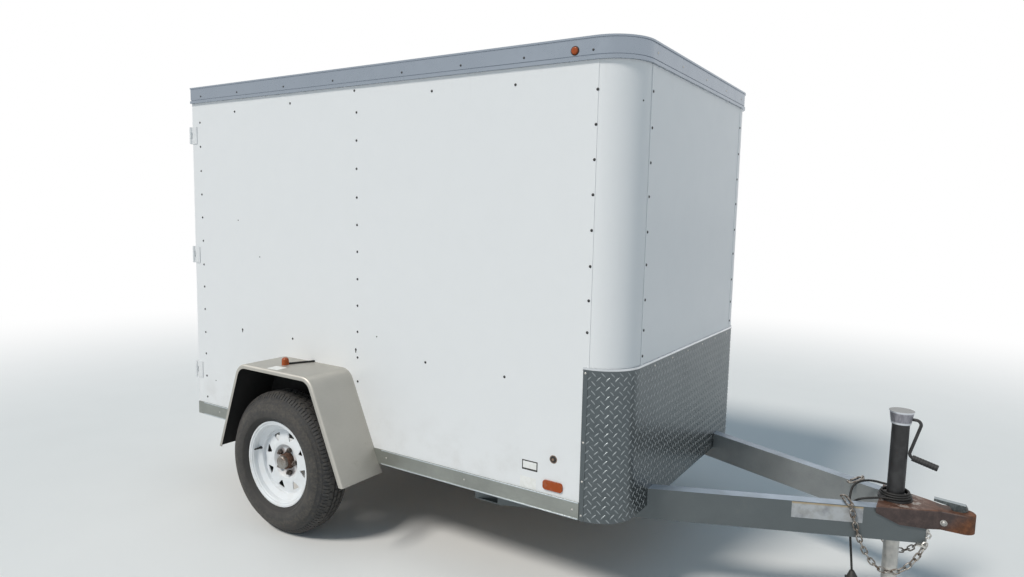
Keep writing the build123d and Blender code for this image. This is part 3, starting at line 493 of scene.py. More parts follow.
def bare_aluminium(
    name, base, rough, stain, stretch=(0.12, 1.0, 1.0), contrast=1.0, top=None, inner=None, inward=None,
    mirror=1.0,
):
    """Bare sheet or extrusion: rolled grain, cloudy oxide, stains and small pits.

    top is a level and a colour above it: a painted highlight along the top. inner is the colour of what faces
    the middle of a wheel, and inward that of what faces the middle of the trailer: painted light that makes
    those faces lighter. mirror is the metal's share.
    """
    colours = settings("finishes")
    f = Finish(name)
    grain = f.noise(420.0, 2.0, 0.6, stretch=stretch)
    cloud = f.noise(11.0, 5.0, 0.62)
    wide = f.noise(3.2, 3.0)
    pits = f.noise(240.0, 3.0, 0.7)
    x, y, z = f.where()
    pale = base
    # Painted light: faces towards the middle of the trailer take a lighter colour, standing in for light
    # falling on them.
    if inward:
        nx, ny, nz = f.normal()
        pale = f.blend((ny * y / abs(y)).step(-0.3, -0.6), pale, inward)
    # Painted highlight: everything above the top level takes the lighter top colour.
    if top:
        pale = f.blend(z.step(top[0] - 0.0008, top[0]), pale, top[1])
    dark = f.blend(wide.step(0.3, 0.7) * 0.5 * contrast, pale, shade(base, 0.74))
    tone = f.blend(cloud.step(0.38, 0.70) * 0.35 * contrast, dark, shade(base, 1.30))
    tone = f.blend((grain - 0.5) * 0.45 * contrast + 0.10, tone, shade(base, 0.62))
    low = z.step(0.75, 0.36)
    marks = pits.step(0.66, 0.78) * 0.45 + cloud.step(0.60, 0.78) * low * 0.4 + low * 0.08
    tone = f.blend(marks * stain, tone, colours.dirt)
    worn = rough + (cloud - 0.5) * 0.24 + marks * stain * 0.35
    metal = mirror - marks * stain * 0.8 * mirror
    if inner:
        nx, ny, nz = f.normal()
        within = ((WHEEL.x - x) * nx + (WHEEL.z - z) * nz).step(0.10, 0.16)
        tone = f.blend(within, tone, inner)
        worn = worn + within * 0.3
        metal = metal * (1.0 - within)
    height = (grain + pits * 2.0 + wide * 12.0) * 0.00003
    f.surface(height, base_color=tone, roughness=worn, metallic=metal)


def floor_wood(colours):
    f = Finish("floor_wood")
    grain = f.noise(34.0, 5.0, 0.65, stretch=(0.07, 1.0, 1.0))
    wear = f.noise(4.0, 4.0)
    wood = f.blend(grain.step(0.3, 0.72), (0.40, 0.26, 0.14), (0.24, 0.145, 0.075))
    f.surface(
        grain * 0.0004, base_color=f.blend(wear.step(0.45, 0.75) * 0.5, wood, colours.dirt), roughness=0.72
    )


def zinc_steel(colours):
    """Plated steel, painted with the walls on the hinge leaves of the rear posts."""
    f = Finish("zinc_steel")
    x, y, z = f.where()
    painted = (abs(y) > SIDE - 0.004) * (x < REAR + 0.09)
    cloud = f.noise(26.0, 4.0, 0.6)
    fine = f.noise(300.0, 3.0)
    rust = f.noise(48.0, 5.0, 0.7).step(0.60, 0.74)
    tone = f.blend(cloud.step(0.3, 0.7), (0.42, 0.42, 0.41), (0.60, 0.59, 0.56))
    bare = f.blend(rust * 0.75, tone, colours.rust)
    f.surface(
        fine * 0.00004 + rust * 0.0001, base_color=f.blend(painted, bare, shade(colours.skin, 0.95)),
        roughness=0.38 + cloud * 0.2 + rust * 0.3, metallic=(1.0 - rust * 0.85) * (1.0 - painted),
    )


def tyre_rubber(colours):
    f = Finish("tyre_rubber")
    x, y, z = f.where()
    radius = distance(x - WHEEL.x, z - WHEEL.z)
    cloud = f.noise(14.0, 5.0, 0.65)
    fine = f.noise(420.0, 3.0)
    dust = radius.step(TYRE_RADIUS - 0.020, TYRE_RADIUS - 0.001) * (0.02 + cloud * 0.10)
    dust = dust + cloud.step(0.50, 0.78) * 0.10 + 0.02 + radius.step(0.318, 0.300) * 0.06
    inner_ring = radius.step(0.222, 0.229) * radius.step(0.254, 0.248)
    outer_ring = radius.step(0.262, 0.267) * radius.step(0.297, 0.291)
    mottle = f.noise(70.0, 4.0, 0.7).step(0.44, 0.62) * radius.step(0.240, 0.262)
    dust = dust + (inner_ring + outer_ring) * cloud.step(0.30, 0.65) * 0.12 + mottle * 0.20
    worn = f.blend(cloud.step(0.35, 0.65) * 0.5, colours.rubber, shade(colours.rubber, 2.0))
    worn = f.blend(radius.step(0.236, 0.224) * 0.7, worn, shade(colours.rubber, 0.55))
    f.surface(
        fine * 0.00012 + cloud * 0.0004, base_color=f.blend(dust, worn, shade(colours.dirt, 0.62)),
        roughness=0.62 + cloud * 0.2 + dust * 0.3,
    )


def white_wheel(colours):
    f = Finish("white_wheel")
    x, y, z = f.where()
    radius = distance(x - WHEEL.x, z - WHEEL.z)
    cloud = f.noise(22.0, 5.0, 0.65)
    speck = f.noise(190.0, 3.0, 0.6)
    centre = radius.step(0.088, 0.050) * cloud.step(0.36, 0.62)
    edge = radius.step(RIM_RADIUS - 0.018, RIM_RADIUS) * cloud.step(0.50, 0.72) * 0.25
    rust = centre * 0.6 + speck.step(0.70, 0.78) * 0.35
    paint = f.blend(cloud.step(0.45, 0.75) * 0.14 + edge, (0.80, 0.82, 0.84), shade(colours.dirt, 1.9))
    nx, ny, nz = f.normal()
    # Painted shade: faces behind the disc and inside the barrel that face inwards are painted nearly black,
    # with no rust, where shade falls inside the wheel.
    behind = abs(y).step(abs(WHEEL.y) + 0.0095, abs(WHEEL.y) + 0.0075) * (ny * y / abs(y)).step(0.35, 0.25)
    paint = f.blend(behind * 0.96, paint, (0.030, 0.027, 0.024))
    f.surface(
        speck * 0.00006 + cloud * 0.0002, base_color=f.blend(rust * (1.0 - behind), paint, colours.rust),
        roughness=0.32 + cloud * 0.2 + rust * 0.4,
    )


def rusty_steel(colours):
    """Rusted castings and plates: grey dust caps on the hubs and dark paint left on the coupler."""
    f = Finish("rusty_steel")
    x, y, z = f.where()
    cloud = f.noise(34.0, 6.0, 0.68)
    scale = f.noise(150.0, 4.0, 0.7)
    wide = f.noise(9.0, 3.0)
    radius = distance(x - WHEEL.x, z - WHEEL.z)
    cap = (abs(y) > abs(WHEEL.y) + 0.031) * (radius < 0.034)
    dark = f.blend(cloud.step(0.35, 0.68), shade(colours.rust, 0.42), colours.rust)
    tone = f.blend(scale.step(0.55, 0.72) * 0.6, dark, (0.31, 0.150, 0.075))
    grey = f.blend(cloud.step(0.42, 0.70), (0.34, 0.33, 0.31), (0.18, 0.13, 0.10))
    paint = f.blend(cloud.step(0.4, 0.7) * 0.6, (0.040, 0.030, 0.030), (0.095, 0.072, 0.070))
    side = z.step(COUPLER_TOP - 0.0005, COUPLER_TOP - 0.003)
    tone = f.blend((abs(y) > abs(WHEEL.y) - 0.1) * 0.65, tone, (0.105, 0.064, 0.048))
    kept = (x + (wide - 0.5) * 0.24 - z * 0.8).step(FRONT + 0.78, FRONT + 0.68) * (x > FRONT + 0.7)
    tone = f.blend(kept * (0.35 + side * 0.55), tone, paint)
    from_jack = distance(x - JACK_X, y)
    scraped = (1.0 - side) * from_jack.step(0.125, 0.075) * cloud.step(0.48, 0.60) * (x > FRONT + 0.7)
    tone = f.blend(scraped * 0.75, tone, (0.46, 0.43, 0.40))
    f.surface(
        scale * 0.0005 + cloud * 0.0008, base_color=f.blend(cap, tone, grey),
        roughness=0.78 - cap * 0.3 - kept * 0.25, metallic=cap * 0.8 + 0.1,
    )


def worn_steel(name, dark, pale, up, rust, scratch=0.3):
    """Grey steel, darker and rusty in patches, with its own colour on what faces up, which on the latch is a
    painted highlight.
    """
    f = Finish(name)
    nx, ny, nz = f.normal()
    cloud = f.noise(70.0, 5.0, 0.66)
    lines = f.noise(90.0, 3.0, 0.6, stretch=(1.0, 1.0, 0.12))
    tone = f.blend(cloud.step(0.35, 0.68), dark, pale)
    tone = f.blend(lines.step(0.50, 0.72) * scratch, tone, shade(pale, 1.8))
    tone = f.blend(f.noise(42.0, 4.0, 0.7).step(0.56, 0.70) * rust, tone, settings("finishes").rust)
    # Faces that look up take the up colour: a painted highlight on the latch.
    tone = f.blend(nz.step(0.5, 0.8), tone, up)
    f.surface(cloud * 0.0002, base_color=tone, roughness=0.42 + cloud * 0.2, metallic=0.6)


def cap_zinc():
    """Plated cap of the jack: painted highlights on the rims above and below a dull scratched band."""
    f = Finish("cap_zinc")
    x, y, z = f.where()
    low, high = (corner.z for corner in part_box("jack_cap"))
    cloud = f.noise(80.0, 5.0, 0.66)
    lines = f.noise(120.0, 3.0, 0.6, stretch=(1.0, 1.0, 0.2))
    # Painted highlights: pale bands at the cap's lower and upper rims.
    rim_highlights = z.step(low + 0.010, low + 0.006) + z.step(high - 0.009, high - 0.006)
    dull = f.blend(lines.step(0.35, 0.65), (0.25, 0.245, 0.275), (0.36, 0.355, 0.39))
    tone = f.blend(rim_highlights, dull, (0.70, 0.72, 0.76))
    nx, ny, nz = f.normal()
    tone = f.blend(nz.step(0.5, 0.8) * 0.8 + cloud.step(0.60, 0.74) * 0.2, tone, (0.20, 0.20, 0.19))
    f.surface(cloud * 0.0002, base_color=tone, roughness=0.36 + cloud * 0.2, metallic=0.7)


def worn_paint(name, paint, rough, wear, rust_colour):
    """Old enamel with chips through to rust."""
    f = Finish(name)
    cloud = f.noise(24.0, 5.0, 0.66)
    chips = f.noise(90.0, 4.0, 0.7).step(0.70 - wear, 0.78 - wear)
    tone = f.blend(cloud.step(0.35, 0.7) * 0.6, paint, [c * 2.2 + 0.01 for c in paint])
    f.surface(
        cloud * 0.0001 + (1.0 - chips) * 0.00008, base_color=f.blend(chips * 0.8, tone, rust_colour),
        roughness=rough + cloud * 0.18 + chips * 0.25,
    )


def moulded(name, colour, rough, dust=0.12):
    """Moulded plastic or rubber with a fine grain and dust."""
    f = Finish(name)
    fine = f.noise(700.0, 2.0)
    cloud = f.noise(20.0, 4.0, 0.6)
    tone = f.blend(cloud.step(0.45, 0.75) * dust, colour, shade(settings("finishes").dirt, 0.7))
    f.surface(fine * 0.00004, base_color=tone, roughness=rough + cloud * 0.15)


def lens_plastic(name, colour, ribs):
    """Clear moulded lens with ribs inside, and black plastic where a lamp's lead leaves it."""
    f = Finish(name)
    x, y, z = f.where()
    rib = f.node("ShaderNodeMath", {"operation": "SINE"}, {0: (x + y * 0.4) * ribs})
    cloud = f.noise(30.0, 4.0)
    deep = f.blend(rib * 0.22 + 0.28, colour, shade(colour, 0.55))
    lamp_x, lamp_y = FENDER_LAMP
    away = distance(x - lamp_x, abs(y) - lamp_y)
    lead = (away > 0.0185) * (abs(x - lamp_x) < 0.1) * (abs(y) < lamp_y + 0.02) * (z < FENDER_HIGH + 0.012)
    tone = f.blend(cloud.step(0.5, 0.8) * 0.25, deep, settings("finishes").dirt)
    f.surface(
        rib * 0.00012, base_color=f.blend(lead, tone, (0.02, 0.02, 0.02)),
        roughness=0.16 + cloud * 0.2 + lead * 0.3, coat_weight=0.15, specular_ior_level=0.3,
    )


def chain_steel(colours):
    f = Finish("chain_steel")
    cloud = f.noise(60.0, 5.0, 0.65)
    tone = f.blend(cloud.step(0.36, 0.64), (0.40, 0.39, 0.37), (0.11, 0.075, 0.05))
    metal = 1.0 - cloud.step(0.42, 0.70) * 0.6
    f.surface(cloud * 0.0003, base_color=tone, roughness=0.34 + cloud * 0.3, metallic=metal)


def label_paper():
    """Blank label, faded, rubbed and stained yellow along its top."""
    f = Finish("label_paper")
    x, y, z = f.where()
    cloud = f.noise(40.0, 5.0, 0.6)
    rubbed = f.noise(19.0, 3.0, 0.55)
    top = z.step(LABEL_HIGH - 0.010, LABEL_HIGH - 0.002) * (abs(z - LABEL_HIGH) < 0.012)
    tone = f.blend(cloud.step(0.35, 0.7) * 0.6, (0.44, 0.455, 0.47), (0.29, 0.285, 0.27))
    tone = f.blend(rubbed.step(0.42, 0.68) * 0.55, tone, (0.17, 0.18, 0.205))
    f.surface(base_color=f.blend(top * 0.7, tone, (0.40, 0.27, 0.10)), roughness=0.5 + cloud * 0.2)


def label_white():
    """Blank white label, a little yellowed."""
    f = Finish("label_white")
    cloud = f.noise(60.0, 4.0, 0.6)
    tone = f.blend(cloud.step(0.4, 0.75) * 0.4, (0.84, 0.84, 0.82), (0.66, 0.65, 0.60))
    f.surface(base_color=tone, roughness=0.4 + cloud * 0.2)


NODE_FINISH = {
    "fender_right": "fender_sheet", "fender_left": "fender_sheet",
    "tongue_right": "tongue_tube_highlit", "tongue_left": "tongue_tube_highlit", "guard_cap": "cap_strip_highlit",
    "coupler_latch": "latch_steel_highlit", "jack_cap": "cap_zinc",
}


class TRAILER_OT_finishes(Operator):
    """Makes the materials and gives each solid of the frame its own"""

    bl_idname = "trailer.finishes"
    bl_label = "Finishes"

    def execute(self, context):
        colours = settings("finishes")
        white_skin(colours)
        bare_aluminium("frame_aluminium", colours.bare, 0.44, 0.8)
        bare_aluminium(
            "fender_sheet", colours.fender, 0.56, 0.6, contrast=0.5, stretch=(1.0, 0.12, 1.0),
            inner=(0.012, 0.012, 0.012),
        )
        # Tongue tubes: a painted highlight along their tops and painted light on their faces towards the
        # middle.
        bare_aluminium(
            "tongue_tube_highlit", colours.tongue, 0.42, 0.4, contrast=0.6, top=(TONGUE_TOP, (0.42, 0.50, 0.60)),
            inward=(0.42, 0.445, 0.455), mirror=0.45,
        )
        bare_aluminium("trim_aluminium", colours.trim, 0.28, 0.2, contrast=0.2)
        # Guard cap: the plate's colour with a painted highlight along its top edge.
        cap_top_highlight = (GUARD_HIGH - 0.006, (0.86, 0.89, 0.92))
        bare_aluminium("cap_strip_highlit", colours.plate, 0.3, 0.2, contrast=0.3, top=cap_top_highlight)
        bare_aluminium("tread_plate", colours.plate, 0.32, 0.35, contrast=0.5)
        # Lugs in a lighter copy of the plate's aluminium: a painted highlight.
        bare_aluminium("tread_lug_highlight", colours.lug, 0.42, 0.2, contrast=0.4, mirror=0.8)
        floor_wood(colours)
        zinc_steel(colours)
        tyre_rubber(colours)
        white_wheel(colours)
        rusty_steel(colours)
        worn_paint("black_steel", (0.018, 0.018, 0.019), 0.42, 0.02, colours.rust)
        worn_paint("black_coating", (0.010, 0.010, 0.010), 0.6, -0.02, colours.dirt)
        moulded("black_plastic", (0.016, 0.016, 0.016), 0.45)
        moulded("black_cable", (0.009, 0.009, 0.009), 0.55, dust=0.05)
        lens_plastic("amber_lens", colours.amber, 1100.0)
        lens_plastic("red_lens", colours.red, 900.0)
        chain_steel(colours)
        worn_steel("nut_steel", (0.055, 0.048, 0.044), (0.17, 0.145, 0.13), (0.14, 0.12, 0.11), 0.55, 0.1)
        worn_steel("latch_steel_highlit", (0.050, 0.060, 0.062), (0.13, 0.15, 0.155), (0.36, 0.40, 0.42), 0.2)
        cap_zinc()
        # Rail lips: a lighter copy of the rails' aluminium, a painted highlight.
        bare_aluminium("rail_lip_highlight", (0.58, 0.63, 0.66), 0.36, 0.3, contrast=0.3, mirror=0.6)
        moulded("vent_tan", (0.24, 0.15, 0.10), 0.5)
        label_paper()
        label_white()
        slots = {row["node"]: row["material_slot"] for row in frame["record"]["subparts"]}
        for node, solid in frame["nodes"].items():
            solid.data.materials.clear()
            solid.data.materials.append(bpy.data.materials[NODE_FINISH.get(node, slots[node])])
        return {"FINISHED"}


# Wiring lead: ahead of the front wall, left of the middle, height
FEED_ROUTE = (
    (0.5937, -0.1347, 0.372), (0.5763, -0.0943, 0.372), (0.592, -0.052, 0.371), (0.635, -0.034, 0.373),
    (0.673, -0.048, 0.385), (0.700, -0.073, 0.416), (0.722, -0.090, 0.452), (0.752, -0.093, 0.468),
    (0.784, -0.078, 0.472), (0.818, -0.059, 0.4751),
)
TAIL_ROUTE = (
    (0.811, 0.050, 0.4943), (0.767, 0.046, 0.500), (0.730, 0.020, 0.499), (0.705, -0.020, 0.490),
    (0.699, -0.062, 0.468), (0.702, -0.090, 0.430), (0.710, -0.101, 0.380), (0.714, -0.103, 0.310),
    (0.722, -0.100, 0.235), (0.729, -0.100, 0.165),
)
POINTS_PER_TURN = 14
ENTRY_LEVEL, LEAVE_LEVEL = 0.4751, 0.4943


def ahead(points):
    """Points of the frame from places that are ahead of the front wall."""
    return [Vector((FRONT + x, y, z)) for x, y, z in points]


class TRAILER_OT_lead(Operator):
    """Makes the wiring lead as one cord, wound round the foot of the jack"""

    bl_idname = "trailer.lead"
    bl_label = "Wiring lead"

    def execute(self, context):
        lead = settings("lead")
        steps = ceil(lead.turns * POINTS_PER_TURN)
        winding = []
        for i in range(steps + 1):
            share = i / steps
            turn = tau * lead.turns * share - pi / 2
            radius = lead.lowest + (lead.highest - lead.lowest) * share
            level = ENTRY_LEVEL + (LEAVE_LEVEL - ENTRY_LEVEL) * share
            winding.append(Vector((JACK_X + radius * cos(turn), radius * sin(turn), level)))
        route = ahead(FEED_ROUTE) + winding + ahead(TAIL_ROUTE)
        curve = bpy.data.curves.new("wiring_lead", "CURVE")
        curve.dimensions = "3D"
        curve.bevel_depth = lead.diameter / 2
        curve.bevel_resolution = 3
        curve.use_fill_caps = True
        spline = curve.splines.new("NURBS")
        spline.points.add(len(route) - 1)
        for point, where in zip(spline.points, route):
            point.co = (*where, 1.0)
        spline.order_u = 3
        spline.use_endpoint_u = True
        spline.resolution_u = 4
        made = placed("wiring_lead", curve)
        dressed(made, "black_cable", "trailer", ("wiring_feed", "wiring_turns", "wiring_tail"))
        return {"FINISHED"}


# Skins: thin sheets whose edges show beside the round corners, with strips where the front one laps
SEAM_Y = SIDE - 0.158
SEAM_X = FRONT - 0.138
LAP_WIDTH = 0.024
UNDER_TRIM = 0.004
SINK = 0.0004


class TRAILER_OT_skins(Operator):
    """Makes the outer sheets of the front and the sides, which lap over the round corners"""

    bl_idname = "trailer.skins"
    bl_label = "Skins"

    def execute(self, context):
        front, sides = Shape(), Shape()
        top = TRIM_LOW + UNDER_TRIM
        front.box((FRONT, -SEAM_Y, GUARD_HIGH - 0.01), (FRONT + SKIN, SEAM_Y, top))
        for side in (-1, 1):
            lap = (FRONT + SKIN - SINK, FRONT + 2 * SKIN)
            front.side_box(side, lap, (SEAM_Y - LAP_WIDTH, SEAM_Y), (GUARD_HIGH, TRIM_LOW))
            sides.side_box(side, (REAR + 0.001, SEAM_X), (SIDE, SIDE + SKIN), (RAIL_HIGH, top))
        front.piece("front_skin", "white_skin", bevel=0.0004)
        sides.piece("side_skins", "white_skin", bevel=0.0004)
        return {"FINISHED"}


# Stone guard: levels of its side rivets, and places of its front ones to the left of the middle
GUARD_RIVETS = (0.404, 0.539, 0.693, 0.962)
GUARD_FRONT_RIVETS = (-0.453, -0.252, -0.054, 0.150, 0.350, 0.545)
STRIP_THICK = 0.0015
TONGUE_ROOM = 0.012
# Plan of a lug, as shares of half its length and width
LUG_ENDS = (
    (1.0, 0.0), (0.55, 0.78), (0.0, 1.0), (-0.55, 0.78),
    (-1.0, 0.0), (-0.55, -0.78), (0.0, -1.0), (0.55, -0.78),
)


def lug(shape, place, size):
    """Low bar of tread plate with a rounded ridge."""
    base = [(x * size.length / 2, y * size.width / 2, -0.0003) for x, y in LUG_ENDS]
    top = [(x * size.length * 0.40, y * size.width * 0.20, size.height) for x, y in LUG_ENDS]
    count = len(LUG_ENDS)
    sides = [[i, (i + 1) % count, count + (i + 1) % count, count + i] for i in range(count)]
    shape.add(base + top, sides + [list(range(count))[::-1], list(range(count, 2 * count))], place)


def head(shape, place, radius):
    """Domed head of a screw or rivet, with its foot in the sheet."""
    foot = [(0, -0.0008), (radius, -0.0008), (radius, 0.0004)]
    shape.lathe(foot + [(radius * 0.78, radius * 0.34), (0, radius * 0.5)], 10, place)


class TRAILER_OT_guard(Operator):
    """Makes the lugs of the tread plate, the strips at its ends and its rivets"""

    bl_idname = "trailer.guard"
    bl_label = "Stone guard"

    def execute(self, context):
        size = settings("guard")
        flat = SIDE - CORNER_RADIUS
        reach = flat + (CORNER_RADIUS + GUARD_SHEET) * pi / 2 + (FRONT - CORNER_RADIUS) - GUARD_REAR
        cap_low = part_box("guard_cap")[0].z
        lugs = Shape()
        columns = int((reach - size.edge) / size.cell)
        rows = int((cap_low - GUARD_LOW) / size.cell)
        rise = (cap_low - GUARD_LOW - rows * size.cell) / 2 + GUARD_LOW
        for i in range(-columns, columns + 1):
            point, normal = plan_point(i * size.cell, GUARD_SHEET)
            for j in range(i % 2, rows, 2):
                centre = point + Vector((0, 0, rise + (j + 0.5) * size.cell))
                if not self.at_tongue(centre):
                    lean = Matrix.Rotation(radians(45 if i % 2 else -45), 4, "Z")
                    lug(lugs, facing(centre, normal) @ lean, size)
        lugs.piece("tread_lugs", "tread_lug_highlight", sharp=75, slot="tread_plate")
        self.edges(size, cap_low)
        return {"FINISHED"}

    def at_tongue(self, point):
        """True where a lug would reach into a tongue tube's passage."""
        middle = TONGUE_FOOT - (point.x - FRONT) * TONGUE_SIN / TONGUE_COS
        across = abs(abs(point.y) - middle)
        return point.z < TONGUE_TOP + TONGUE_ROOM and across < TUBE_HALF + TONGUE_ROOM

    def edges(self, size, cap_low):
        strips, rivets = Shape(), Shape()
        outside = SIDE + GUARD_SHEET
        rivet = settings("fasteners").rivet
        for side in (-1, 1):
            strip = (GUARD_REAR, GUARD_REAR + size.edge)
            strips.side_box(side, strip, (outside, outside + STRIP_THICK), (GUARD_LOW, cap_low))
            for level in GUARD_RIVETS:
                head(rivets, on_side(side, GUARD_REAR + size.edge / 2, outside + STRIP_THICK, level), rivet)
        for y in GUARD_FRONT_RIVETS:
            head(rivets, facing((GUARD_NOSE, y, cap_low - 0.012), (1, 0, 0)), rivet)
        strips.piece("guard_edges", "tread_plate", bevel=0.0004)
        rivets.piece("guard_rivets", "zinc_steel", sharp=60)


# Screws of the walls and the roof trim. A column has its place behind the front wall at its top and at its
# bottom, then its levels.
SIDE_SCREWS = (
    (0.141, 0.151, (2.005, 1.881, 1.755, 1.628, 1.498, 1.365, 1.237, 1.117)),
    (1.345, 1.338, (1.993, 1.868, 1.741, 1.611, 1.486, 1.363, 1.236, 1.112, 0.989, 0.867, 0.753, 0.63, 0.51)),
    (2.522, 2.514, (2.007, 1.878, 1.748, 1.621, 1.496, 1.368, 1.237, 1.114, 0.988, 0.858, 0.737, 0.61, 0.49)),
)
# Screws into the uprights: place behind the front wall, then level
UPRIGHT_SCREWS = (
    (0.493, 2.048), (0.908, 2.055), (1.358, 2.090), (1.792, 2.062), (2.221, 2.048),
    (0.516, 0.895), (0.930, 0.899), (1.352, 0.903), (1.793, 0.904), (2.190, 0.907),
)
SEAM_SCREWS = (2.013, 1.881, 1.753, 1.627, 1.495, 1.371, 1.237, 1.120, 1.02)
TRIM_SCREWS = (0.160, 0.453, 0.754, 1.069, 1.490, 1.832, 2.192, 2.50)
TRIM_FRONT_SCREWS = (-0.573, -0.299, 0.007, 0.307, 0.573)
RAIL_RIVETS = (0.188, 0.708, 1.155, 1.72, 2.40)
RAIL_RIVET_LEVEL = 0.420


class TRAILER_OT_fasteners(Operator):
    """Makes the screws of the walls and trim and the rivets of the rails"""

    bl_idname = "trailer.fasteners"
    bl_label = "Screws and rivets"

    def execute(self, context):
        size = settings("fasteners")
        screws, trim, rails = Shape(), Shape(), Shape()
        trim_level = (TRIM_LOW + TRIM_HIGH) / 2
        for side in (-1, 1):
            for top, bottom, levels in SIDE_SCREWS:
                for i, level in enumerate(levels):
                    behind = top + (bottom - top) * i / (len(levels) - 1) + 0.001 * sin(7.1 * i)
                    head(screws, on_side(side, FRONT - behind, SIDE + SKIN, level), size.screw)
            for behind, level in UPRIGHT_SCREWS:
                head(screws, on_side(side, FRONT - behind, SIDE + SKIN, level), size.screw)
            for i, level in enumerate(SEAM_SCREWS):
                place = (FRONT + 2 * SKIN, side * (SEAM_Y - 0.014 + 0.002 * sin(5.0 * i)), level)
                head(screws, facing(place, (1, 0, 0)), size.screw)
            for behind in TRIM_SCREWS:
                head(screws, on_side(side, FRONT - behind, TRIM_SIDE - 0.004, trim_level - 0.008), size.rivet)
            for behind in RAIL_RIVETS:
                head(rails, on_side(side, FRONT - behind, RAIL_SIDE, RAIL_RIVET_LEVEL), size.rivet)
        for y in TRIM_FRONT_SCREWS:
            place = (FRONT + TRIM_SIDE - SIDE - 0.004, y, trim_level + 0.002)
            head(trim, facing(place, (1, 0, 0)), size.rivet)
        screws.piece("wall_screws", "black_steel", sharp=60)
        trim.piece("trim_screws", "zinc_steel", sharp=60)
        rails.piece("rail_rivets", "zinc_steel", sharp=60)
        return {"FINISHED"}


# Tyres: bends of the sidewall above and below its belly, and of the shoulder
BELLY_RADIUS, UPPER_BEND, LOWER_BEND = 0.2575, 0.07204, 0.05543
SHOULDER_MIDDLE, SHOULDER_BEND = (0.0264, 0.29797), 0.04626
# Shoulder: degrees round its bend, and how deep the slots are there
SHOULDER = ((14, 1.0), (23, 1.0), (32, 1.0), (41, 1.0), (50, 1.0), (58, 1.0), (63, 0.8), (65, 0.0))
# Sidewall: radius and how proud it is there, on its three rings
SIDEWALL = (
    (0.3140, 0.0), (0.3128, 0.0006), (0.3108, 0.0006), (0.3100, 0.0), (0.304, 0.0), (0.2985, 0.0),
    (0.2978, 0.0008), (0.2956, 0.0008), (0.2950, 0.0), (0.288, 0.0), (0.280, 0.0), (0.272, 0.0), (0.264, 0.0),
    (0.256, 0.0), (0.248, 0.0), (0.240, 0.0), (0.2330, 0.0), (0.2322, 0.0012), (0.2292, 0.0012), (0.2284, 0.0),
    (0.222, 0.0), (0.216, 0.0), (0.2110, 0.0),
)
BEAD_RADIUS = 0.1903
# Starts and ends of the slots, as shares of a pitch, and which of them are open in each kind of slot
SLOT_EDGES = (0.0, 0.025, 0.105, 0.13, 0.5, 0.525, 0.605, 0.63)
OPEN_EDGES = {1: (5, 6), 2: (1, 2), 3: (1, 2, 5, 6)}


def sidewall(radius):
    """Place of the sidewall across from the middle of the tyre, at a radius."""
    bend = UPPER_BEND if radius > BELLY_RADIUS else LOWER_BEND
    return TYRE_HALF - bend + (bend ** 2 - (radius - BELLY_RADIUS) ** 2) ** 0.5


def tyre_rows():
    """Half section from the middle of the tread: (across, radius, how deep a slot is here, kind of slot)."""
    crown, floor = TYRE_RADIUS, TYRE_RADIUS - settings("tyre").groove
    rows = [(0.0, floor, 0, 0), (0.0026, floor, 0, 0), (0.0035, crown, 1, 1), (0.012, crown, 1, 1)]
    rows += [(0.0205, crown, 1, 1), (0.0214, floor, 0, 0), (0.0240, floor, 0, 0)]
    rows += [(0.0266, floor, 0, 0), (0.0275, crown, 1, 2), (0.0310, crown, 1, 2)]
    for degrees, share in SHOULDER:
        turn = radians(degrees)
        across = SHOULDER_MIDDLE[0] + SHOULDER_BEND * sin(turn)
        rows.append((across, SHOULDER_MIDDLE[1] + SHOULDER_BEND * cos(turn), share, 3 if degrees > 23 else 2))
    rows += [(sidewall(radius) + proud, radius, 0, 0) for radius, proud in SIDEWALL]
    bead = RIM_HALF - 0.0053
    return rows + [(bead, RIM_RADIUS + 0.0006, 0, 0), (bead, BEAD_RADIUS, 0, 0)]


def tyre(side_name, side):
    """Tyre with ribs, cross slots and sidewall rings, on one side's wheel."""
    size = settings("tyre")
    half_rows = tyre_rows()
    rows = [(-across, *rest) for across, *rest in reversed(half_rows[1:])] + half_rows
    points, faces = [], []
    columns = [(pitch + edge, i) for pitch in range(size.pitches) for i, edge in enumerate(SLOT_EDGES)]
    for step, i in columns:
        for across, radius, share, kind in rows:
            lean = 0.22 * sin(abs(across) / 0.03 * pi) * (1 if across > 0 else -1) if kind in (1, 2) else 0.0
            turn = tau * (step + lean) / size.pitches
            if kind and i in OPEN_EDGES[kind]:
                radius -= size.slot * share
            points.append((radius * cos(turn), across, radius * sin(turn)))
    wide, count = len(rows), len(columns)
    for c in range(count):
        a, b = c * wide, (c + 1) % count * wide
        faces += [[a + r, b + r, b + (r + 1) % wide, a + (r + 1) % wide] for r in range(wide)]
    shape = Shape()
    shape.add(points, faces, Matrix.Translation((WHEEL.x, side * abs(WHEEL.y), WHEEL.z)))
    node = "tyre_" + side_name
    shape.piece("tread_" + node, "tyre_rubber", "wheel_" + side_name, sharp=38, stands_for=(node,))


class TRAILER_OT_tyres(Operator):
    """Makes the two tyres with their tread"""

    bl_idname = "trailer.tyres"
    bl_label = "Tyres"

    def execute(self, context):
        tyre("right", -1)
        tyre("left", 1)
        return {"FINISHED"}


# Wheel nuts and valves, as (radius, height) from the disc's face or from the valve's foot
BOLT_CIRCLE, BOLTS = 0.1143, 5
DISC_FACE = 0.004
VALVE_RADIUS, VALVE_FOOT, VALVE_DEGREES = 0.170, 0.034, 13
NUT = ((0, 0), (0.0085, 0), (0.0125, 0.004), (0.0125, 0.017), (0.0105, 0.0195), (0, 0.0195))
STUD = ((0, 0.015), (0.0062, 0.015), (0.0062, 0.026), (0.005, 0.0275), (0, 0.0275))
STEM = (
    (0, -0.004), (0.008, -0.004), (0.008, 0.002), (0.0052, 0.006), (0.0048, 0.024), (0.0040, 0.025),
    (0.0040, 0.036), (0.0030, 0.038), (0, 0.038),
)


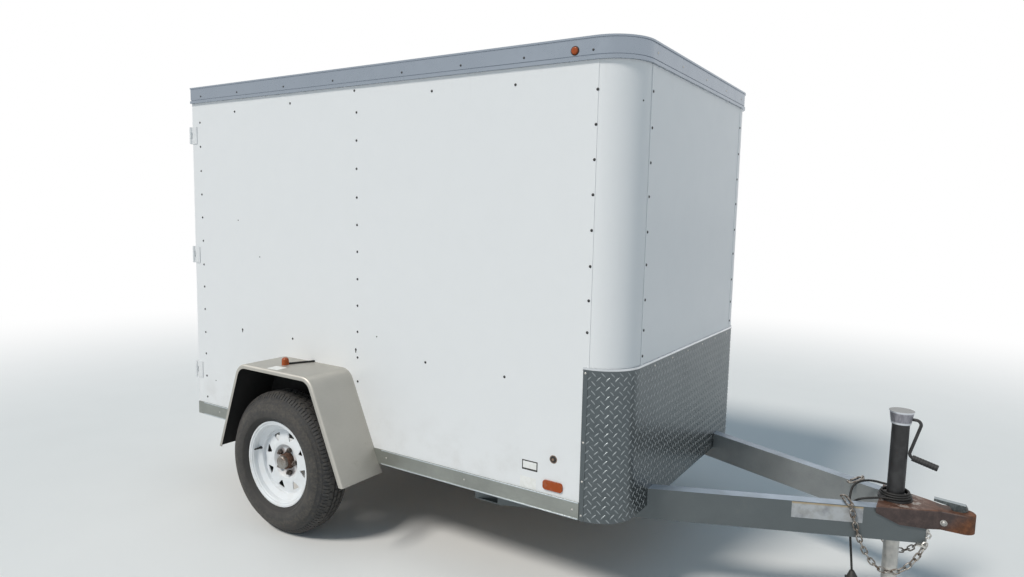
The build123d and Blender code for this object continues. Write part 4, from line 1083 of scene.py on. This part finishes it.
class TRAILER_OT_wheel_fittings(Operator):
    """Makes the wheel nuts, their studs and the valves"""

    bl_idname = "trailer.wheel_fittings"
    bl_label = "Wheel nuts and valves"

    def execute(self, context):
        for name, side in (("right", -1), ("left", 1)):
            middle = on_side(side, WHEEL.x, abs(WHEEL.y), WHEEL.z)
            nuts, valve = Shape(), Shape()
            for i in range(BOLTS):
                turn = tau * i / BOLTS
                at = Matrix.Translation((BOLT_CIRCLE / 2 * cos(turn), BOLT_CIRCLE / 2 * sin(turn), DISC_FACE))
                place = middle @ at @ Matrix.Rotation(turn * 1.7, 4, "Z")
                nuts.lathe(NUT, 6, place)
                nuts.lathe(STUD, 12, place)
            nuts.piece("wheel_nuts_" + name, "nut_steel", "wheel_" + name, bevel=0.0007)
            turn = radians(180 - VALVE_DEGREES if side < 0 else VALVE_DEGREES)
            at = Matrix.Translation((VALVE_RADIUS * cos(turn), VALVE_RADIUS * sin(turn), VALVE_FOOT))
            valve.lathe(STEM, 12, middle @ at)
            valve.piece("valve_" + name, "black_coating", "wheel_" + name)
        return {"FINISHED"}


# Safety chains: smooth links and hooks in the places of the plain ones
LINK_SHIFT, LINK_ROUND, LINK_WIRE = 0.00735, 0.0087, 0.0029
HOOK_SHIFT, HOOK_ROUND, HOOK_WIRE = 0.0415, 0.0105, 0.0042


def racetrack(shift, bend, steps, start=0.0, end=1.0):
    """Points of a long ring, two half circles joined by straight sides, over a share of its length."""
    length = 4 * shift + tau * bend
    points = []
    for i in range(steps):
        s = (start + (end - start) * i / (steps if end - start == 1.0 else steps - 1)) * length
        s = s % length
        for centre, offset in ((shift, 0.0), (-shift, pi)):
            if s <= pi * bend:
                turn = s / bend - pi / 2 + offset
                points.append(Vector((centre + bend * cos(turn), bend * sin(turn), 0)))
                break
            s -= pi * bend
            if s <= 2 * shift:
                way = 1 if centre > 0 else -1
                points.append(Vector((way * (shift - s), way * bend, 0)))
                break
            s -= 2 * shift
    return points


def islands(node):
    """Points of each separate solid of a node, in the order of its mesh."""
    work = bmesh.new()
    work.from_mesh(frame["nodes"][node].data)
    bmesh.ops.remove_doubles(work, verts=work.verts, dist=0.00002)
    work.verts.index_update()
    seen, groups = set(), []
    for first in work.verts:
        group = [] if first.index in seen else [first]
        for vert in group:
            seen.add(vert.index)
            around = [edge.other_vert(vert) for edge in vert.link_edges]
            group += [other for other in around if other.index not in seen]
            seen.update(other.index for other in around)
        if group:
            groups.append([vert.co.copy() for vert in group])
    work.free()
    return groups


def own_axes(points):
    """Middle of some points and their long, middle and short directions."""
    middle = sum(points, Vector()) / len(points)
    spread = np.array([p - middle for p in points])
    directions = np.linalg.eigh(spread.T @ spread)[1]
    long, wide = Vector(directions[:, 2]), Vector(directions[:, 1])
    return middle, long, wide, long.cross(wide)


class TRAILER_OT_chains(Operator):
    """Makes the links and hooks of the safety chains from round wire"""

    bl_idname = "trailer.chains"
    bl_label = "Safety chains"

    def execute(self, context):
        chain = Shape()
        for points in islands("safety_chains"):
            middle, long, wide, thick = own_axes(points)
            reach = max((p - middle).dot(long) for p in points)
            if reach < 0.03:
                place = Matrix.Translation(middle) @ Matrix((long, wide, thick)).transposed().to_4x4()
                path = [place @ p for p in racetrack(LINK_SHIFT, LINK_ROUND, 24)]
                chain.tube(path, LINK_WIRE, 8, closed=True)
            else:
                self.hook(chain, points)
        chain.piece("round_chains", "chain_steel", sharp=70, stands_for=("safety_chains",))
        return {"FINISHED"}

    def hook(self, chain, points):
        """Hook across the top of a tube, open on its rear side near the inner end."""
        low = Vector([min(p[i] for p in points) for i in range(3)])
        high = Vector([max(p[i] for p in points) for i in range(3)])
        middle = (low + high) / 2
        side = -1 if middle.y < 0 else 1
        inward = Vector((-TONGUE_SIN, -side * TONGUE_COS, 0))
        rear = Vector((-TONGUE_COS, side * TONGUE_SIN, 0))
        place = Matrix.Translation(middle) @ Matrix((inward, rear, inward.cross(rear))).transposed().to_4x4()
        length = 4 * HOOK_SHIFT + tau * HOOK_ROUND
        mouth = (pi * HOOK_ROUND + 0.004) / length
        path = racetrack(HOOK_SHIFT, HOOK_ROUND, 44, mouth + 0.018 / length, 1.0 + mouth)
        chain.tube([place @ p for p in path], HOOK_WIRE, 10)


# Labels and small parts, by their places ahead of the front wall and their levels
TUBE_OUTWARD = Vector((TONGUE_SIN, -TONGUE_COS, 0))
LABEL_THICK, FRAME_LINE = 0.0004, 0.0045
WALL_LABEL = ((-0.422, 0.532), (-0.350, 0.572))
FAINT_LABEL = ((-0.430, 0.458), (-0.355, 0.503))
FENDER_LABEL = (-1.665, -0.965)
TONGUE_LABEL = (0.6365, -0.1997, 0.419)
WALL_TEARS = ((-1.352, 0.901), (-2.190, 0.905))
WALL_NICKS = ((-2.433, 0.594), (-2.2095, 1.4877), (-1.2188, 0.980), (-2.0386, 1.303))
CORNER_NICK = (0.0474, 1.9714)
BOLT_AHEAD, BOLT_ACROSS, BOLT_LEVEL = 1.0235, 0.0402, 0.4174
WASHER = ((0, -0.001), (0.0120, -0.001), (0.0120, 0.0016), (0, 0.0016))
BOLT_HEAD = ((0, 0.001), (0.0086, 0.001), (0.0086, 0.0042), (0.0062, 0.0068), (0, 0.0076))
BOLT_NUT = ((0, 0.001), (0.0098, 0.001), (0.0098, 0.0085), (0.0085, 0.0095), (0, 0.0095))
# Grip of the jack's crank: its end ahead of the jack and its level, its way, and where its ribs are
GRIP_END, GRIP_WAY = (0.136, 0.612), (0.102, -0.028)
RIB_START, RIB_STEP, RIBS = -0.006, 0.0098, 9
# Lips of the side rails: how far out, and their height from the rail's foot or top
LIPS = (
    (0.0036, RAIL_LOW, RAIL_LOW + 0.0046),
    (0.0016, RAIL_HIGH - 0.0042, RAIL_HIGH + 0.0004),
)
MARKER_LAMP = (-0.2343, 0.7705, 2.147)
VENT_BUTTON = ((0, 0.0010), (0.0052, 0.0010), (0.0052, 0.0052), (0, 0.0058))
NICK = ((0, -0.0006), (0.0034, -0.0006), (0.0034, 0.0004), (0, 0.0005))


class TRAILER_OT_labels(Operator):
    """Makes the blank labels of the wall, the tongue and the fender"""

    bl_idname = "trailer.labels"
    bl_label = "Labels"

    def execute(self, context):
        dark, white, tube = Shape(), Shape(), Shape()
        wall = SIDE + SKIN
        outside, foot = wall + LABEL_THICK, wall - 0.0002
        (x0, z0), (x1, z1) = WALL_LABEL
        dark.side_box(-1, (FRONT + x0, FRONT + x1), (foot, outside), (z0, z1))
        dark.piece("wall_label_frame", "black_plastic")
        inside = (FRONT + x0 + FRAME_LINE, FRONT + x1 - FRAME_LINE)
        levels = (z0 + 1.6 * FRAME_LINE, z1 - FRAME_LINE)
        white.side_box(-1, inside, (outside - 0.0001, outside + 0.0003), levels)
        (x0, z0), (x1, z1) = FAINT_LABEL
        white.side_box(-1, (FRONT + x0, FRONT + x1), (foot, outside), (z0, z1))
        ahead_of_wall, y = FENDER_LABEL
        top = Matrix.Translation((FRONT + ahead_of_wall, y, FENDER_HIGH))
        turned = top @ Matrix.Rotation(radians(4), 4, "Z")
        white.box((-0.035, -0.030, -0.0002), (0.035, 0.030, LABEL_THICK), turned)
        white.piece("white_labels", "label_white")
        place = facing(ahead([TONGUE_LABEL])[0], TUBE_OUTWARD)
        tube.box((-0.132, -0.032, -0.0004), (0.132, 0.032, LABEL_THICK), place)
        tube.piece("tongue_label", "label_paper")
        return {"FINISHED"}


class TRAILER_OT_small_parts(Operator):
    """Makes the coupler's bolt, the crank's ribs, the rails' lips, the round rims and the wall's nicks"""

    bl_idname = "trailer.small_parts"
    bl_label = "Small parts"

    def execute(self, context):
        self.bolt()
        self.grip()
        self.lips()
        self.rim_highlights()
        self.nicks()
        return {"FINISHED"}

    def bolt(self):
        """Bolt across the coupler, round head on the right and nut on the left."""
        bolt = Shape()
        for side, end, sides in ((-1, BOLT_HEAD, 20), (1, BOLT_NUT, 6)):
            place = on_side(side, FRONT + BOLT_AHEAD, BOLT_ACROSS, BOLT_LEVEL)
            bolt.lathe(WASHER, 20, place)
            bolt.lathe(end, sides, place)
        bolt.piece("coupler_bolt", "zinc_steel", sharp=50)

    def grip(self):
        """Raised rings round the grip of the jack's crank."""
        ribs = Shape()
        place = facing((JACK_X + GRIP_END[0], 0, GRIP_END[1]), (GRIP_WAY[0], 0, GRIP_WAY[1]))
        for i in range(RIBS):
            ribs.ring(0.0119, RIB_START - RIB_STEP * i, 20, 0.0013, 6, place)
        ribs.piece("grip_ribs", "black_plastic", sharp=75)

    def lips(self):
        """Lips along the top and the foot of each side rail, open at the fender, in a lighter aluminium than
        the rail: a painted highlight.
        """
        lips = Shape()
        gap = 0.001
        stretches = ((REAR + 0.052, fender_low.x - gap), (fender_high.x + gap, GUARD_REAR - gap))
        for side in (-1, 1):
            for stretch in stretches:
                for reach, z0, z1 in LIPS:
                    lips.side_box(side, stretch, (RAIL_SIDE - 0.0005, RAIL_SIDE + reach), (z0, z1))
        lips.piece("rail_lips", "rail_lip_highlight", bevel=0.0006)

    def rim_highlights(self):
        """Round rims of the marker lamps and of the side vent."""
        lamps, vent = Shape(), Shape()
        x, y, z = MARKER_LAMP
        for side in (-1, 1):
            lamps.ring(0.0156, 0, 28, 0.0018, 8, on_side(side, FRONT + x, y, z))
        lamps.piece("lamp_rims", "black_plastic", sharp=75)
        low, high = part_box("side_vent")
        place = on_side(-1, (low.x + high.x) / 2, SIDE + SKIN, (low.z + high.z) / 2)
        vent.ring(0.0150, 0, 28, 0.0016, 8, place)
        vent.lathe(VENT_BUTTON, 16, place)
        vent.piece("vent_rim", "vent_tan", sharp=60)

    def nicks(self):
        """Dark nicks and tears in the right wall's sheet and its round corner."""
        nicks = Shape()
        for x, z in WALL_NICKS:
            nicks.lathe(NICK, 10, on_side(-1, FRONT + x, SIDE + SKIN, z))
        for x, z in WALL_TEARS:
            place = on_side(-1, FRONT + x, SIDE + SKIN, z)
            nicks.box((-0.0026, -0.012, -0.0006), (0.0022, 0.009, 0.0008), place)
        round_corner, level = CORNER_NICK
        point, normal = plan_point(-(SIDE - CORNER_RADIUS + round_corner), 0.0)
        nicks.lathe(NICK, 10, facing(point + Vector((0, 0, level)), normal))
        nicks.piece("wall_nicks", "black_coating")


# Stage
KEY_WAY, KEY_COLOUR = Vector((0.22, 0.62, -0.75)), (1.0, 0.955, 0.89)
SHADE_COLOUR, WHITE = (0.62, 0.83, 1.0), (1.0, 1.0, 1.0)
FLOOR_SIDES, FADE = 48, (3.2, 9.0)


class TRAILER_OT_stage(Operator):
    """Makes the camera, the soft lamps, the surroundings and the pale floor"""

    bl_idname = "trailer.stage"
    bl_label = "Stage"

    def execute(self, context):
        stage = settings("stage")
        self.camera(stage)
        self.surroundings(stage)
        self.floor(stage)
        lamp = bpy.data.lights.new("key_lamp", "SUN")
        lamp.energy = stage.sun
        lamp.color = KEY_COLOUR
        lamp.angle = radians(14)
        placed("key_lamp", lamp).rotation_euler = KEY_WAY.to_track_quat("-Z", "Y").to_euler()
        bpy.context.scene.view_settings.view_transform = "Standard"
        return {"FINISHED"}

    def camera(self, stage):
        lens = bpy.data.cameras.new("camera")
        lens.lens = stage.lens
        lens.sensor_width = 36.0
        lens.clip_end = 200.0
        yaw, pitch, roll = stage.yaw, stage.pitch, stage.roll
        forward = Vector((-sin(yaw) * cos(pitch), cos(yaw) * cos(pitch), sin(pitch)))
        right = Vector((cos(yaw), sin(yaw), 0))
        up = right.cross(forward)
        side = right * cos(roll) + up * sin(roll)
        top = up * cos(roll) - right * sin(roll)
        made = placed("camera", lens)
        turn = Matrix((side, top, -forward)).transposed().to_4x4()
        made.matrix_world = Matrix.Translation(stage.place) @ turn
        bpy.context.scene.camera = made

    def seen(self, f):
        """1 for rays that show the background itself: seen, mirrored or through glass."""
        path = f.node("ShaderNodeLightPath").socket.node.outputs
        camera, glossy, through = [
            Wire(f, path[name]) for name in ("Is Camera Ray", "Is Glossy Ray", "Is Transmission Ray")
        ]
        return camera + glossy + through

    def surroundings(self, stage):
        world = bpy.data.worlds.new("studio")
        bpy.context.scene.world = world
        f = Finish("studio", world)
        soft = f.node("ShaderNodeBackground", inputs={0: SHADE_COLOUR, 1: stage.ambient})
        white = f.node("ShaderNodeBackground", inputs={0: WHITE, 1: 1.0})
        both = f.node("ShaderNodeMixShader", inputs={0: self.seen(f), 1: soft, 2: white})
        f.node("ShaderNodeOutputWorld", inputs={0: both})

    def floor(self, stage):
        f = Finish("pale_floor")
        x, y, z = f.where()
        colour = f.blend(f.noise(3.0, 3.0), (0.88, 0.88, 0.87), (0.85, 0.85, 0.84))
        pale = f.node("ShaderNodeBsdfPrincipled", inputs={"Base Color": colour, "Roughness": 0.9})
        white = f.node("ShaderNodeEmission", inputs={0: WHITE, 1: 1.0})
        far = self.seen(f) * distance(x, y).step(*FADE)
        both = f.node("ShaderNodeMixShader", inputs={0: far, 1: pale, 2: white})
        f.node("ShaderNodeOutputMaterial", inputs={"Surface": both})
        turns = [tau * i / FLOOR_SIDES for i in range(FLOOR_SIDES)]
        outline = [(stage.floor * cos(turn), stage.floor * sin(turn), 0) for turn in turns]
        mesh = bpy.data.meshes.new("floor_stage")
        mesh.from_pydata(outline, [], [list(range(FLOOR_SIDES))])
        mesh.materials.append(f.owner)
        made = placed("floor_stage", mesh)
        made.location.z = min(0.0, cad_box[0].z) - 0.0005


GROUPS = (
    ("finishes", TrailerFinishes), ("lead", TrailerLead), ("guard", TrailerGuard), ("tyre", TrailerTyre),
    ("fasteners", TrailerFasteners), ("stage", TrailerStage),
)
OPERATORS = (
    TRAILER_OT_finishes,
    TRAILER_OT_stage,
    TRAILER_OT_lead,
    TRAILER_OT_skins,
    TRAILER_OT_guard,
    TRAILER_OT_fasteners,
    TRAILER_OT_tyres,
    TRAILER_OT_wheel_fittings,
    TRAILER_OT_chains,
    TRAILER_OT_labels,
    TRAILER_OT_small_parts,
)


class TRAILER_PT_panel(Panel):
    """Sizes, colours and pieces of the trailer"""

    bl_idname = "TRAILER_PT_panel"
    bl_label = "Cargo trailer"
    bl_space_type = "VIEW_3D"
    bl_region_type = "UI"
    bl_category = "Trailer"

    def draw(self, context):
        for name, group in GROUPS:
            box = self.layout.box()
            box.label(text=group.__doc__)
            for key in group.__annotations__:
                box.prop(settings(name), key)
        for operator in OPERATORS:
            self.layout.operator(operator.bl_idname)


def register():
    for name, group in GROUPS:
        bpy.utils.register_class(group)
        setattr(bpy.types.Scene, "trailer_" + name, PointerProperty(type=group))
    for kind in (*OPERATORS, TRAILER_PT_panel):
        bpy.utils.register_class(kind)


def unregister():
    for kind in (TRAILER_PT_panel, *reversed(OPERATORS)):
        bpy.utils.unregister_class(kind)
    for name, group in reversed(GROUPS):
        delattr(bpy.types.Scene, "trailer_" + name)
        bpy.utils.unregister_class(group)


def main():
    register()
    for operator in OPERATORS:
        group, name = operator.bl_idname.split(".")
        getattr(getattr(bpy.ops, group), name)()


if __name__ == "__main__":
    main()
